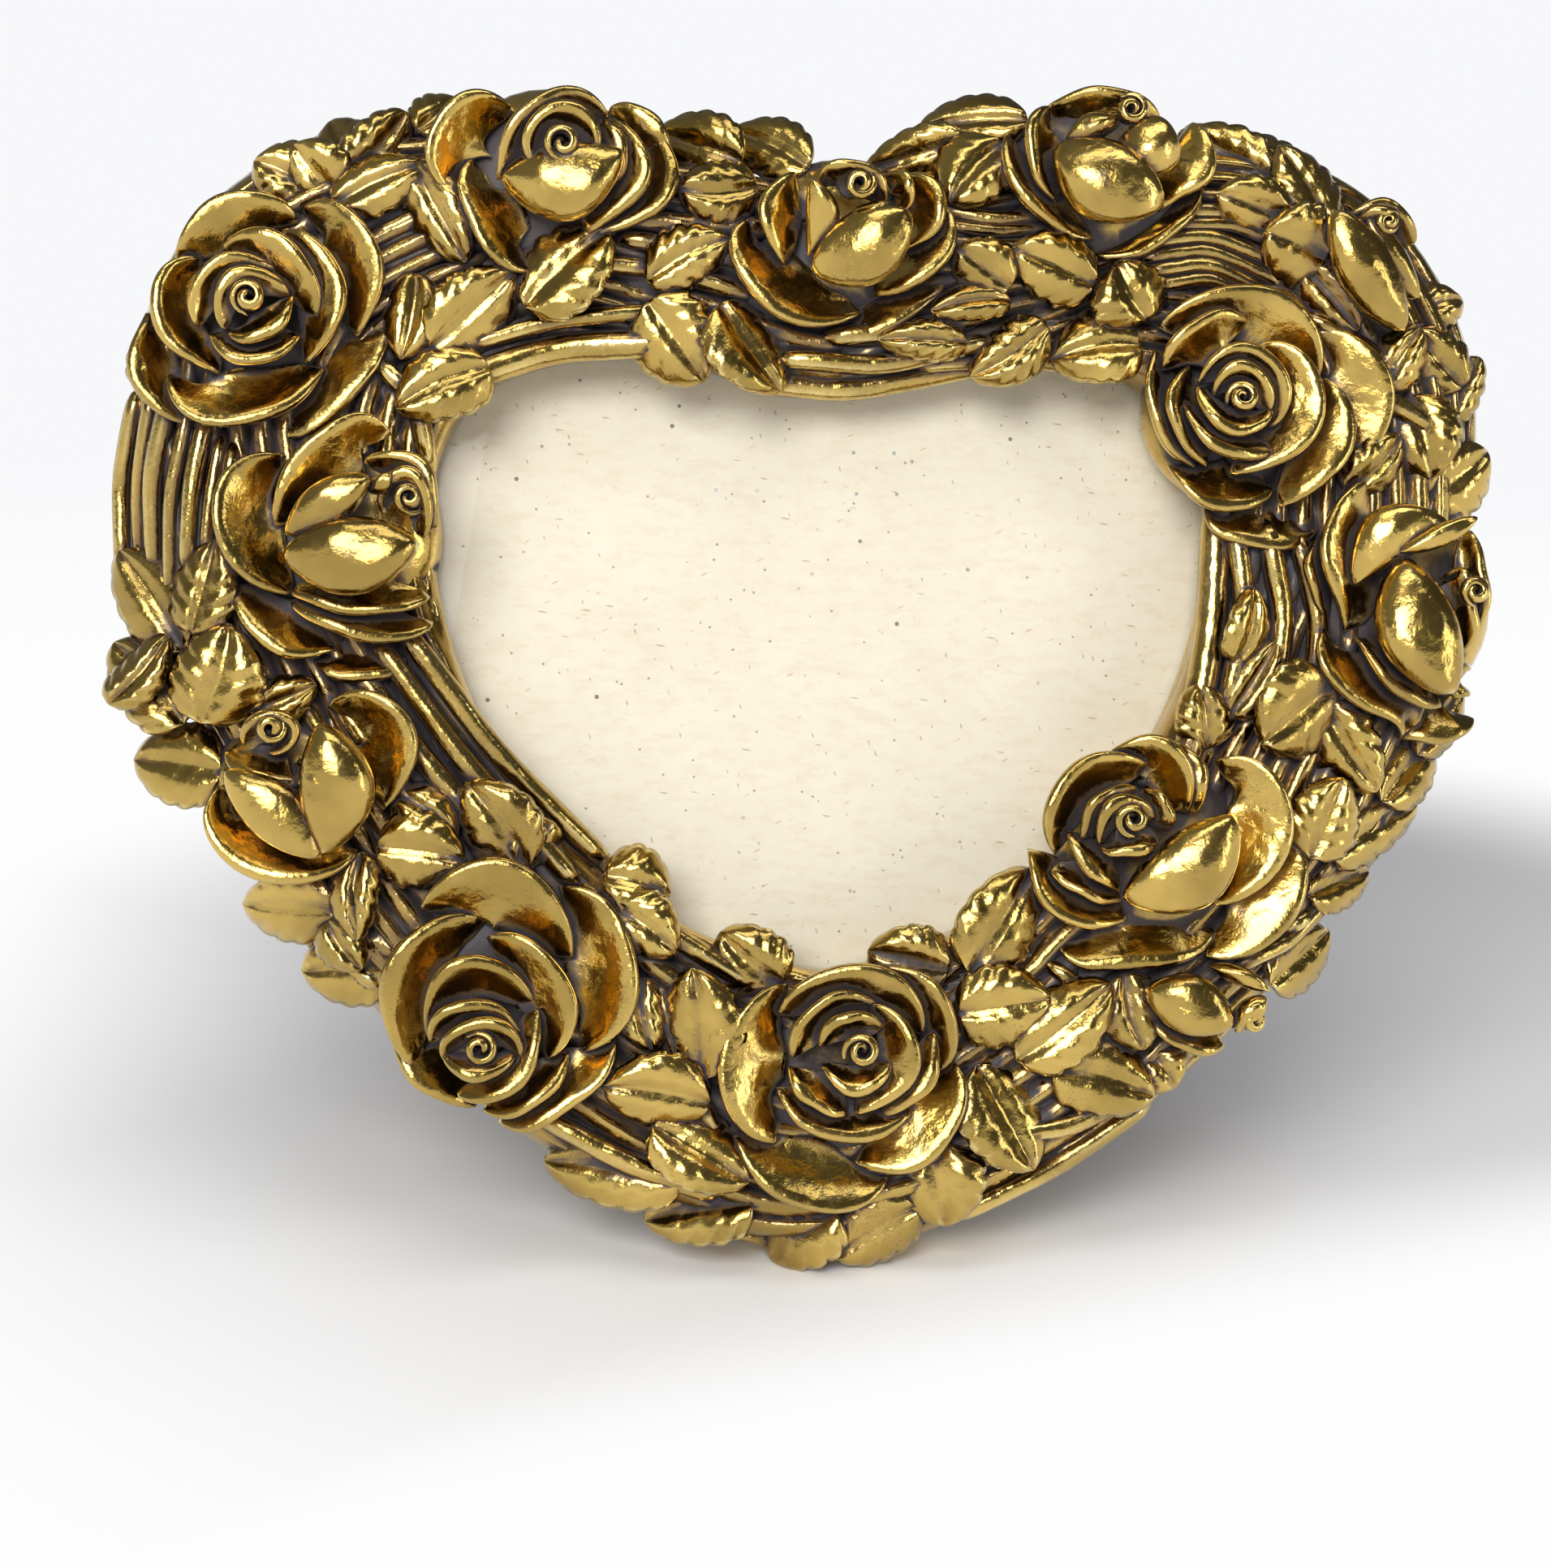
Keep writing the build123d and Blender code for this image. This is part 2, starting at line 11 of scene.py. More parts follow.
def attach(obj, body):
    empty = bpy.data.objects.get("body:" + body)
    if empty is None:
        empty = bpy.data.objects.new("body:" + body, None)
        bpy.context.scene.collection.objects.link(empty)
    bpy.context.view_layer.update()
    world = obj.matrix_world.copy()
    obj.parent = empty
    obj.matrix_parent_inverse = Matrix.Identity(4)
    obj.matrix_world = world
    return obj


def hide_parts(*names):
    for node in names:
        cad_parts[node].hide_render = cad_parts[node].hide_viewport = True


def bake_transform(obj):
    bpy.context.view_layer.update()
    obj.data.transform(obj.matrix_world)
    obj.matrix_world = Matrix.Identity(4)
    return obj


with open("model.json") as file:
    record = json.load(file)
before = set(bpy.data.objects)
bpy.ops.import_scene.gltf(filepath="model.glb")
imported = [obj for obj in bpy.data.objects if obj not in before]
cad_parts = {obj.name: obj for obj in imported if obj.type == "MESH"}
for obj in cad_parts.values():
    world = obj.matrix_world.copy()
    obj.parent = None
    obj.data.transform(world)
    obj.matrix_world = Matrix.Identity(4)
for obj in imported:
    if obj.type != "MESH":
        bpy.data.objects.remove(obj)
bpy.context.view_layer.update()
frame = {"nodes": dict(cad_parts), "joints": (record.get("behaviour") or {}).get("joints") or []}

# The frame is drawn lying down, in millimetres: u to the right, v up the face, w out of the front,
# with w = 0 on the casting's back. stand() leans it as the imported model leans.
MM = 0.001
LEAN = math.radians(15)
RIGHT = np.array((1.0, 0.0, 0.0))
UP = np.array((0.0, math.sin(LEAN), math.cos(LEAN)))
OUT = np.array((0.0, -math.cos(LEAN), math.sin(LEAN)))
HINGE = (-3.5, 34.0, -1.9)
hinge_joint = next(j for j in frame["joints"] if j["name"] == "strut_hinge")
ORIGIN = np.array(hinge_joint["pos_m"]) - MM * (HINGE[0] * RIGHT + HINGE[1] * UP + HINGE[2] * OUT)

# Hearts: half width, lobe radius, side radius, height where widest, bottom round, cleft round
OUTER = (145, 60, 188, 58, 60, 12)
OPENING = (83, 34, 98, 35, 22, 14)
LOBE_FALL = math.radians(10)
# Points on half a heart: round the bottom, up the side, over the lobe, down to the cleft, round the cleft
HEART_COUNTS = (22, 90, 84, 20, 8)
RING_HEIGHT = 20.0
EDGE_ROUND = 17.0
LIP_ROUND = 6.0
REBATE_WIDTH = 7.0
REBATE_DEPTH = 5.4

rng = np.random.default_rng(11)


def stand(points):
    """Points of the lying frame, stood up, in metres, none under the floor."""
    points = np.asarray(points, float)
    placed = ORIGIN + MM * (points[..., :1] * RIGHT + points[..., 1:2] * UP + points[..., 2:3] * OUT)
    placed[..., 2] = np.maximum(placed[..., 2], 0.0)
    return placed


def heart_line(shares, outset=0.0):
    """A heart's outline from its lowest point, right half up and left half down, as (n, 2)."""
    half_width, lobe, side, height, bottom, cleft = shares
    lobe_x = half_width - lobe
    side_x = half_width - side
    lobe, side, bottom, cleft = lobe + outset, side + outset, bottom + outset, cleft - outset
    low_y = height - math.sqrt((side - bottom) ** 2 - side_x ** 2)
    meet = math.atan2(low_y - height, -side_x)
    turn = math.pi / 2 + LOBE_FALL
    end = (lobe_x + lobe * math.cos(turn), height + lobe * math.sin(turn))
    cleft_y = end[1] - end[0] * math.tan(LOBE_FALL)
    top_y = cleft_y + cleft / math.cos(LOBE_FALL)
    arcs = ((0, low_y, bottom, -math.pi / 2, meet), (side_x, height, side, meet, 0.0),
            (lobe_x, height, lobe, 0.0, turn))
    runs = []
    for count, (cx, cy, radius, a, b) in zip(HEART_COUNTS, arcs):
        angle = np.linspace(a, b, count, endpoint=False)
        runs.append(np.stack((cx + radius * np.cos(angle), cy + radius * np.sin(angle)), 1))
    touch = (cleft * math.sin(LOBE_FALL), top_y - cleft * math.cos(LOBE_FALL))
    share = np.linspace(0, 1, HEART_COUNTS[3], endpoint=False)[:, None]
    runs.append(np.array(end) * (1 - share) + np.array(touch) * share)
    angle = np.linspace(-math.pi / 2 + LOBE_FALL, -math.pi / 2, HEART_COUNTS[4])
    runs.append(np.stack((cleft * np.cos(angle), top_y + cleft * np.sin(angle)), 1))
    right = np.concatenate(runs)
    left = right[1:-1][::-1] * (-1, 1)
    return np.concatenate((right, left))


OUTER_LINE = heart_line(OUTER)
OPENING_LINE = heart_line(OPENING)


def reach(points, line):
    """How far each (u, v) is from an outline."""
    ab = np.roll(line, -1, 0) - line
    ap = points[:, None, :] - line[None]
    t = np.clip((ap * ab).sum(2) / (ab * ab).sum(1), 0, 1)
    return np.sqrt(((ap - t[..., None] * ab) ** 2).sum(2)).min(1)


def inside(points, line):
    """Whether each (u, v) is inside an outline."""
    a, b = line, np.roll(line, -1, 0)
    x, y = points[:, 0:1], points[:, 1:2]
    crosses = ((a[:, 1] > y) != (b[:, 1] > y)) & (
        x < (b[:, 0] - a[:, 0]) * (y - a[:, 1]) / (b[:, 1] - a[:, 1] + 1e-12) + a[:, 0])
    return crosses.sum(1) % 2 == 1


def ring_top(points):
    """Height of the plain ring under each (u, v)."""
    outer = reach(points, OUTER_LINE) * np.where(inside(points, OUTER_LINE), 1, -1)
    inner = reach(points, OPENING_LINE) * np.where(inside(points, OPENING_LINE), -1, 1)
    rolled = np.clip(EDGE_ROUND - outer, 0, EDGE_ROUND)
    lip = np.clip(LIP_ROUND - inner, 0, LIP_ROUND)
    return (RING_HEIGHT - EDGE_ROUND + np.sqrt(EDGE_ROUND ** 2 - rolled ** 2)
            - LIP_ROUND + np.sqrt(LIP_ROUND ** 2 - lip ** 2))


# Shaping pieces

def read(piece, label="co"):
    """The place or the normal of each of a piece's points, as (n, 3)."""
    values = np.empty(len(piece.data.vertices) * 3)
    piece.data.vertices.foreach_get(label, values)
    return values.reshape(-1, 3)


def take(name):
    """The primitive just added, named, with its points."""
    piece = bpy.context.object
    piece.name = piece.data.name = name
    return piece, read(piece)


def put(piece, points):
    """Moves a piece's points to new places."""
    piece.data.vertices.foreach_set("co", np.asarray(points, float).ravel())
    piece.data.update()


def mark(piece, label, values):
    """Writes a number on every point, for the materials."""
    layer = piece.data.attributes.new(label, "FLOAT", "POINT")
    layer.data.foreach_set("value", np.asarray(values, np.float32))


def apply(piece, kind, **settings):
    """Adds a modifier and applies it."""
    bpy.context.view_layer.objects.active = piece
    modifier = piece.modifiers.new(kind, kind)
    for key, value in settings.items():
        setattr(modifier, key, value)
    bpy.ops.object.modifier_apply(modifier=modifier.name)


def only(piece):
    """Selects one piece and nothing else."""
    bpy.ops.object.select_all(action="DESELECT")
    piece.select_set(True)
    bpy.context.view_layer.objects.active = piece


def edit_all(piece, operator, **settings):
    """One edit mode step on the whole piece."""
    only(piece)
    bpy.ops.object.mode_set(mode="EDIT")
    bpy.ops.mesh.select_all(action="SELECT")
    operator(**settings)
    bpy.ops.object.mode_set(mode="OBJECT")


def outward(piece):
    """Faces pointing out of the closed piece."""
    edit_all(piece, bpy.ops.mesh.normals_make_consistent, inside=False)


def room_out(piece):
    """Faces pointing out of one closed petal, told by the sign of the room in it."""
    shell = bmesh.new()
    shell.from_mesh(piece.data)
    room = shell.calc_volume(signed=True)
    shell.free()
    if room < 0:
        edit_all(piece, bpy.ops.mesh.flip_normals)


def join(parts, name):
    """One piece made of several."""
    bpy.ops.object.select_all(action="DESELECT")
    for part in parts:
        part.select_set(True)
    bpy.context.view_layer.objects.active = parts[0]
    bpy.ops.object.join()
    piece = bpy.context.object
    piece.name = piece.data.name = name
    return piece


def level(line, height):
    """An outline laid at one height, or at a height for each of its points."""
    return np.column_stack((line, np.full(len(line), height)))


def step_round(y, x, count):
    """Which of a circle's equal steps each point stands on."""
    return np.rint(np.arctan2(y, x) / (2 * math.pi) * count).astype(int) % count


def run_of(line):
    """How far along a line each of its points lies."""
    return np.concatenate(((0,), np.cumsum(np.linalg.norm(np.diff(line, axis=0), axis=1))))


def between_knots(where, knots, rows):
    """Each column of the rows, read between the knots."""
    return np.stack([np.interp(where, knots, column) for column in rows.T], 1)


def full_middle(share):
    """0 at both ends of a piece and 1 half way."""
    return np.clip(np.sin(math.pi * share), 0, 1)


def unit(ways):
    """Directions brought to length 1."""
    return ways / (np.linalg.norm(ways, axis=1)[:, None] + 1e-9)


# The ring: the heights of its outer foot and of its lip, then how far apart and how deep the twigs are that
# lie bundled round it, and the same of the thin strands on them
RING_FOOT = 3.0
LIP_HEIGHT = 14.0
TWIG_APART = 5.4
TWIG_DEEP = 3.2
STRAND_APART = 2.7
STRAND_DEEP = 0.3


def wander(x, seed):
    """A slow wavy line between -1 and 1."""
    return (np.sin(x * 0.031 + seed) + np.sin(x * 0.013 + 2.1 * seed) + np.sin(x * 0.071 + 3.7 * seed)) / 3


def make_ring():
    """The heart ring: twigs bundled round it, its lip, its rebate and its back."""
    across = np.concatenate((np.linspace(0, 0.3, 30, endpoint=False), np.linspace(0.3, 1, 52)))
    count = len(OUTER_LINE)
    along = run_of(OUTER_LINE)
    width = np.linalg.norm(OUTER_LINE - OPENING_LINE, axis=1)
    loops = [level(OUTER_LINE, 0)]
    for f in across:
        flat = OUTER_LINE * (1 - f) + OPENING_LINE * f
        w = ring_top(flat * (1 - 1e-6)) if 0 < f < 1 else RING_FOOT if f == 0 else LIP_HEIGHT
        strand = f * width + 2.2 * wander(along, 1.3) + 1.2 * wander(along * 2.3, 4.0)
        round_twig = np.abs(np.sin(math.pi * strand / TWIG_APART)) ** 0.55
        thin_twig = np.abs(np.sin(math.pi * strand / STRAND_APART + wander(along, 2.0)))
        sunk = TWIG_DEEP * (1 - round_twig) + STRAND_DEEP * (1 - thin_twig)
        keep = np.clip(min(f * 40, (1 - f) * 14), 0, 1)
        loops.append(level(flat, w - sunk * keep + math.sin(math.pi * f)))
    rebate = heart_line(OPENING, REBATE_WIDTH)
    loops += [level(OPENING_LINE, w) for w in (10.5, 7.5, REBATE_DEPTH)]
    loops += [level(rebate, w) for w in (REBATE_DEPTH, 0)]
    loops += [level(OUTER_LINE * (1 - f) + rebate * f, 0) for f in (0.8, 0.6, 0.4, 0.2, 0.06)]
    bpy.ops.mesh.primitive_torus_add(major_segments=count, minor_segments=len(loops),
                                     major_radius=4, minor_radius=1)
    piece, co = take("resin_ring")
    major = step_round(co[:, 1], co[:, 0], count)
    minor = step_round(co[:, 2], np.hypot(co[:, 0], co[:, 1]) - 4, len(loops))
    points = np.array(loops)[minor, major]
    put(piece, points)
    behind = points[:, 2] < REBATE_DEPTH + 0.1
    mark(piece, "groove", np.where(behind & (minor > len(across)), 0.85, 0.0))
    outward(piece)
    return piece


# Roses and buds: name, heart (right, up, radius, height), rolled middle (right, up, radius, height),
# crescent petals (width, rim height, foot height, then the rim's points, right and up) and belly petals
# (height at their two ends, swell, the two ends, how far they bulge to the left, negative, and to the
# right)
FLOWERS = (
    ("rose_1", (-118.6, 74.2, 23, 27), (-118.3, 74.1, 3.6, 34.5), (
        (7, 23, 18.5, -140, 73.6, -142.6, 64.4, -141.9, 57.9, -136.6, 52.5, -129.1, 50.2),
        (12, 23.5, 19, -114.7, 48, -107.9, 49.2, -101, 53.7, -95.6, 60.8, -91.6, 68.6, -90.9, 74.5),
        (10, 27, 21, -109, 93.8, -104, 95.4, -98.3, 92.6, -93.9, 85.8, -92.9, 80, -94.7, 73.4, -98.3,
         68.5),
        (8, 27, 22, -133.6, 83, -131.1, 90, -126.1, 94.4, -119.7, 96.6, -113.3, 95.1, -109.7, 91.6),
        (8, 27.5, 22, -135.4, 60.5, -133.1, 53.3, -126.4, 50, -117.5, 50.7, -109.7, 54.8, -104.3, 62.1),
        (6, 28.5, 23.5, -128.4, 83.3, -134.4, 81.4, -137.6, 75.7, -136.9, 69.3, -133, 64.3, -125.1, 60),
        (7, 30, 25, -113.4, 88.6, -105.9, 86.6, -101.5, 80.6, -100.4, 74.1, -102.7, 67.5, -108.1, 62.7),
        (7, 31.5, 26.5, -124.2, 84.4, -120.7, 87.4, -116.4, 88.3, -111.1, 85.4, -106.5, 80.1, -105, 74.4,
         -106, 71.1),
        (6, 32, 27.5, -126.8, 67.7, -124.7, 64.4, -119.9, 61.3, -115, 62.1, -110.7, 64.8, -108.5, 67.6),
        (4.5, 32.5, 28.5, -129, 68.7, -129.8, 74.4, -128, 79.1, -122.7, 82.3, -117.4, 82.3, -113.2,
         80.5),
        (3.4, 33.5, 30, -122.9, 67.9, -125, 72.1, -124.1, 76.4, -121.2, 79.2, -117, 79.7, -113.1, 78,
         -111, 74.6),
        (3.4, 33.5, 30, -110.2, 75.3, -111, 70.3, -114.1, 67, -118.7, 65.5, -122.9, 67.7),
    ), (
    )),
    ("rose_2", (-59, 101.4, 24, 28), (-56.3, 105.6, 4.2, 37.5), (
        (6, 24.5, 19, -87.9, 100.8, -84.3, 94.7, -83.2, 89.6, -79.5, 85.2, -74.6, 81.8),
        (8, 26, 20.5, -46.9, 116.4, -39.9, 115.9, -35.1, 110.4, -33.2, 105.3),
        (7, 27.5, 22, -40, 112.8, -34.7, 107.8, -33, 102, -36.3, 96, -43.7, 91.3, -55.4, 89.2),
        (9, 29, 23, -66, 115.2, -71.5, 117.5, -76.6, 116.8, -80.9, 112.7, -83.4, 106.7, -82.3, 100.9,
         -78.4, 97),
        (8, 28.5, 23, -74.2, 105.3, -76.9, 99.8, -76.2, 93.9, -72.9, 88.2, -67.9, 82.4, -62, 82.6),
        (6, 31, 26, -47.5, 113.1, -42.8, 110.3, -39.3, 104.6, -40.2, 98.7, -44.6, 94.1, -51.5, 89.7),
        (6, 33, 28, -49.8, 112.5, -45, 108.3, -44, 103.9, -47.2, 98.7),
        (6, 35.5, 29, -47, 112.6, -51.3, 116.1, -56.7, 116.8, -61.8, 114.7, -66.1, 110.2, -68.6, 105.4,
         -69.7, 99.6),
        (3.6, 37, 32.5, -60.7, 101.1, -63.7, 104.8, -63, 109.9, -58.9, 112.9, -53.4, 112.8, -49.8, 109.6,
         -49.4, 105.2, -52.1, 101.5),
    ), (
        (29, 34, 5.5, -69.3, 100.7, -44.1, 104.5, -3.5, 11.6),
    )),
    ("rose_3", (1.7, 91, 21, 28), (3.4, 98.8, 3.2, 38), (
        (7, 24, 18.5, 23.3, 84.4, 22.2, 80.2, 17.6, 76.4, 11.5, 72.5, 5.4, 69.7, -1.4, 70.6),
        (7, 28, 22, 21.8, 99.6, 24.3, 94.4, 23.7, 89.2, 21.1, 84.6, 15.4, 80.8, 7.9, 78.9),
        (6, 30.5, 25, 14.3, 103.8, 19.5, 101.5, 21.6, 97.9, 20.9, 93.4, 18, 90.3, 14.6, 88),
        (9, 27.5, 22, -17.2, 94.6, -21.1, 91.9, -21.3, 85.2, -17.5, 78.6, -11.6, 74.2, -4.1, 72.1, 1.9,
         73.3, 6, 76.2),
        (7, 31.5, 26, -8.3, 102.9, -13.1, 100.4, -16.1, 94, -14.8, 89.3, -10.9, 84.6),
        (4.5, 33.5, 29, 8.9, 102.3, 13, 102.1, 14.6, 98, 11.9, 94.9),
        (4, 36.5, 31.5, -4.5, 99, -3.8, 102.1, -0.1, 103.5, 4.4, 103, 8.1, 100.4, 9.4, 96.1),
    ), (
        (30, 35, 3.5, -6.6, 85.5, -7, 100.1, -0.4, 6.2),
        (33, 36, 2.5, -0.1, 92, 9.1, 95.2, -1.5, 2.3),
        (31, 36.5, 4.5, -6, 82.2, 13.7, 93.1, -6, 8.6),
    )),
    ("rose_4", (57.6, 105.4, 23, 28), (60.3, 116.5, 3.4, 34.5), (
        (8, 26, 20, 45.2, 120.2, 51.7, 122.5, 58.7, 122.9, 65.6, 121, 69.9, 117.7),
        (6, 25, 19.5, 79.1, 104.9, 76, 98, 70.5, 92.5, 62.7, 88.5, 54.2, 89.1),
        (9, 28.5, 22, 75, 116.8, 78.9, 111.2, 78.9, 106.2, 74.2, 101.6, 68.8, 98.1),
        (6, 28, 22.5, 36.7, 113.9, 34.8, 107.8, 37.4, 101.5, 42.8, 95.5, 48.9, 92.2, 55, 92.2),
        (6, 31.5, 26, 45.1, 118.4, 41.3, 116.8, 39.4, 111.9, 39.7, 105.9, 42, 101.5, 45.8, 98.3),
    ), (
        (30, 31, 4, 47.1, 110, 58.3, 113.8, -4.2, 1.2),
        (31, 33, 4.5, 57.5, 110, 70.3, 106.5, -7.3, 5.4),
        (31, 34, 5.5, 44.2, 108.7, 66.6, 96.5, -7.1, 9.2),
    )),
    ("rose_5", (87.7, 57.9, 23, 27), (83.3, 57.3, 3.4, 35.5), (
        (9, 23.5, 18.5, 79.5, 36.9, 81.5, 31.2, 87, 28.4, 94.8, 27.9, 101.1, 29.1, 104.7, 32.6),
        (10, 25.5, 20, 102.2, 72.8, 107.7, 73.9, 114, 70.4, 118.1, 62.8, 118.7, 55.9, 115.5, 48.6, 111.6,
         44.7),
        (8, 26.5, 21, 70.9, 45.1, 74.4, 38.9, 81.4, 35.4, 87.6, 36.1, 93.9, 40.7),
        (6, 27, 22, 67.7, 69.6, 65.8, 61.6, 67.3, 52.5, 71.2, 47.2, 77, 44),
        (8, 27.5, 22, 68.7, 74, 73.4, 78.3, 81.2, 81.1, 89, 81.8, 96, 79.6, 100.7, 75.1, 103.4, 69.8,
         103, 63.3),
        (8, 28.5, 23, 103.1, 63.5, 107.5, 59.8, 109.5, 53.8, 107.3, 46.5, 101.8, 40, 94.4, 36.5),
        (6, 30, 25, 75, 65.5, 70.5, 61.2, 69.2, 55.9, 71.1, 50.3, 74.9, 46.2, 78.4, 44.1),
        (7, 30.5, 25.5, 68.7, 64.1, 69.8, 69.3, 74.1, 73.6, 81, 76.2, 87.2, 74.6),
        (8, 31.5, 26, 88.8, 69.4, 94.7, 68.9, 99.5, 66, 101.6, 60, 100.8, 53.5, 96.9, 47.7, 90.7, 44, 83,
         42.9),
        (5, 33, 28.5, 72.6, 57, 74.1, 51, 78.7, 46.9, 84.8, 45.4, 91.4, 47.7),
        (4.5, 34, 29.5, 75, 60.6, 77.3, 65.5, 82.3, 68.2, 87.3, 67.9, 91.1, 65, 93.2, 60.5, 93.2, 56,
         90.7, 51.9),
        (3.4, 35, 31, 90, 54.7, 89.2, 59.9, 86.2, 63.8, 81.6, 64.4, 78.5, 61.6, 77.9, 57.5),
        (3.4, 35, 31, 74.9, 60.4, 75.4, 55.2, 78.8, 51.1, 84.2, 50.3, 88.7, 52.4, 90.1, 56.2),
    ), (
    )),
    ("rose_6", (123.1, 15.4, 24, 28), (133.4, 17.7, 3.2, 35), (
        (7, 24, 19, 121.1, -11.9, 128.6, -13, 135.4, -11.4, 138.3, -7.6),
        (6, 25.5, 20, 103.6, 30.1, 100.5, 25.1, 101.2, 18.6, 106.1, 12.5),
        (12, 28.5, 22.5, 104.5, 11.1, 102.1, 5.8, 104.5, -0.6, 108.8, -4.8, 116.6, -8, 121.3, -12.7),
        (11, 29, 23.5, 113.8, 41.6, 107.9, 38.6, 103.7, 33.1, 102.8, 25.5, 105.1, 17.9, 108.6, 9.5),
        (5, 31, 26, 110.4, 8.7, 114.1, 0.4, 120.8, -4.8, 129, -5.7),
        (4, 33.5, 29, 127.5, 20.8, 130.9, 22.7, 133.2, 17, 134, 9.5, 132.8, 5.7),
        (3.5, 31, 27, 134.7, 31.7, 136.6, 24.1, 137.4, 15.8, 136.4, 8.9),
        (4, 29, 25, 128.9, 3.7, 132.3, 1.5, 135.6, 2.6),
        (4, 26.5, 22, 130.2, -1.6, 133.4, -3.6, 136.4, -2.2),
    ), (
        (28, 31, 4, 108.9, 19.5, 129.1, 32, -10.8, 1),
        (32, 34.5, 2.5, 117, 26.1, 133.5, 33.3, -1.9, 2.7),
        (31, 34.5, 6, 118.4, 25.4, 127.9, -4.1, -5.8, 10.6),
    )),
    ("rose_7", (-101.8, 28.8, 24, 28), (-86.9, 34.5, 3.6, 34.5), (
        (7, 24, 18.5, -107.7, 3.5, -104, 0.4, -98.8, -1.2, -92.9, -0.5, -87.5, 3.6),
        (8, 26.5, 21, -121.9, 18.7, -121.1, 12.6, -117.8, 7.3, -113.4, 4.3, -107.6, 3.6, -101.7, 5.3),
        (5, 28.5, 24, -111.1, 14.8, -105.9, 10.4, -99.3, 7.8, -92.7, 6.7, -87.1, 7.1, -82.5, 10.7),
        (5, 31, 26.5, -110.9, 16.1, -105.4, 13.7, -97, 11.9, -89.3, 12.5, -83, 15.6),
        (10, 29.5, 23.5, -111.9, 44.1, -118.3, 43.2, -123.8, 39.4, -125.6, 33.1, -123.4, 24.2, -118.3,
         18.4, -109.9, 15.8),
        (8, 31.5, 26, -90.7, 48.3, -95.5, 51.2, -99.9, 51.4, -105.7, 46.5, -110.8, 41.2, -113.6, 34.5,
         -113.7, 29.3),
        (4, 34.5, 30, -96, 41.9, -90.2, 43.8, -84.7, 41.9, -82, 36.7, -81.8, 28.6),
        (3, 35.5, 31, -92, 31.3, -91.3, 38, -88, 40.4, -84.3, 38.1, -83, 32.9, -84.3, 26.6),
    ), (
        (33, 35.5, 2, -95.3, 35.9, -90.5, 39.3, -1, 2.4),
        (31, 35.5, 4.5, -111.4, 27.2, -94.3, 38.4, -4.9, 4.1),
        (32, 36.5, 5, -112, 23.1, -84.8, 25.1, -6.3, 8.9),
    )),
    ("rose_8", (-112.2, -23.1, 18, 27), (-114, -11.5, 3, 36.5), (
        (10, 28, 22, -103.8, -6.8, -95.7, -4.1, -89.7, -6.1, -86.6, -11.9, -86.8, -17.9, -89.7, -24.3,
         -92.8, -27.8),
        (7, 29, 23, -124, -22.3, -127.4, -27.6, -127, -33.1, -122.7, -37.6, -115.4, -40.8, -107.3, -41.7,
         -101.1, -39.4, -97.7, -35.5),
        (5, 33.5, 28, -108.5, -16.9, -109.5, -22.5, -115, -22.1, -121.1, -19.5, -123.5, -15.5),
        (3.2, 35.5, 31, -119.5, -14.8, -118.5, -10.8, -114.8, -8.5, -110.3, -8.7, -108.5, -12.2, -111,
         -15.3, -115.1, -16.2),
    ), (
        (31, 32, 4.5, -123.4, -19.5, -104.3, -37, -6.5, 5),
        (31.5, 34, 5.5, -104.3, -36.6, -104.4, -10, -4.1, 10.5),
        (21, 23, 2.5, -96.7, -36.2, -96.5, -53.8, -1, 5.7),
    )),
    ("rose_9", (-70.2, -63.2, 24, 27), (-73.3, -75.1, 3.6, 35.5), (
        (7, 24, 19, -90.9, -71.9, -89.2, -78.7, -85.6, -83.4, -79.9, -86.8, -73.4, -87.9),
        (7, 26.5, 21.5, -45.6, -73.7, -46.5, -79.8, -51.5, -85.4, -57.2, -89.4, -63.3, -92.4, -69.8,
         -90.9),
        (10, 27.5, 21.5, -57.2, -43.4, -52.1, -43.6, -47, -47.6, -43.1, -53.3, -41.9, -60.3, -42.5,
         -67.3, -45.8, -73.8, -53.1, -77.1),
        (8, 27.5, 22, -71.6, -50.3, -78.2, -49, -84.3, -50.8, -88.7, -54.6, -91.7, -60.3, -92.3, -67.6,
         -90.7, -74.1, -86.3, -79.9),
        (10, 30, 23, -85, -48.1, -81.4, -42.4, -75, -38.6, -68.5, -38, -62.9, -40.2, -58.1, -45.1, -55.5,
         -51.5, -54.7, -58.2),
        (5, 29.5, 25, -55.1, -76.7, -56.4, -80.9, -60.3, -85.6, -65.7, -88.8, -72.7, -88.6),
        (8, 32, 26, -71.9, -53.4, -66.1, -52.9, -61.3, -55.2, -57.1, -60.3, -54.5, -65.1, -54.1, -70.4,
         -56.3, -75, -59.9, -78.2),
        (5, 32.5, 28, -62, -67.5, -61.3, -73.9, -62.9, -79.7, -66.2, -83.5, -71.4, -85.9, -77.8, -84.3),
        (6, 31.5, 27, -83, -73.8, -83.8, -66.5, -81.4, -60.9, -75.8, -56.9, -69.4, -58.4, -64.5, -62.7,
         -62.1, -66.7),
        (5, 33.5, 29, -83.1, -74.4, -82.7, -70.4, -78.9, -66.8, -74.1, -65.8, -69.4, -67.3, -64.6,
         -72.6),
        (3.4, 35, 31, -79.9, -77.8, -80.2, -73.6, -77.3, -70.7, -72.5, -69.5, -67.8, -70.4, -65, -73.6,
         -65.2, -77.6),
        (3.4, 35.3, 31.5, -80.1, -75.8, -78.5, -79.2, -74.1, -80.9, -69.5, -80, -66.3, -76),
    ), (
    )),
    ("rose_10", (2.7, -83, 23.5, 27), (3.5, -76.4, 3.8, 35.5), (
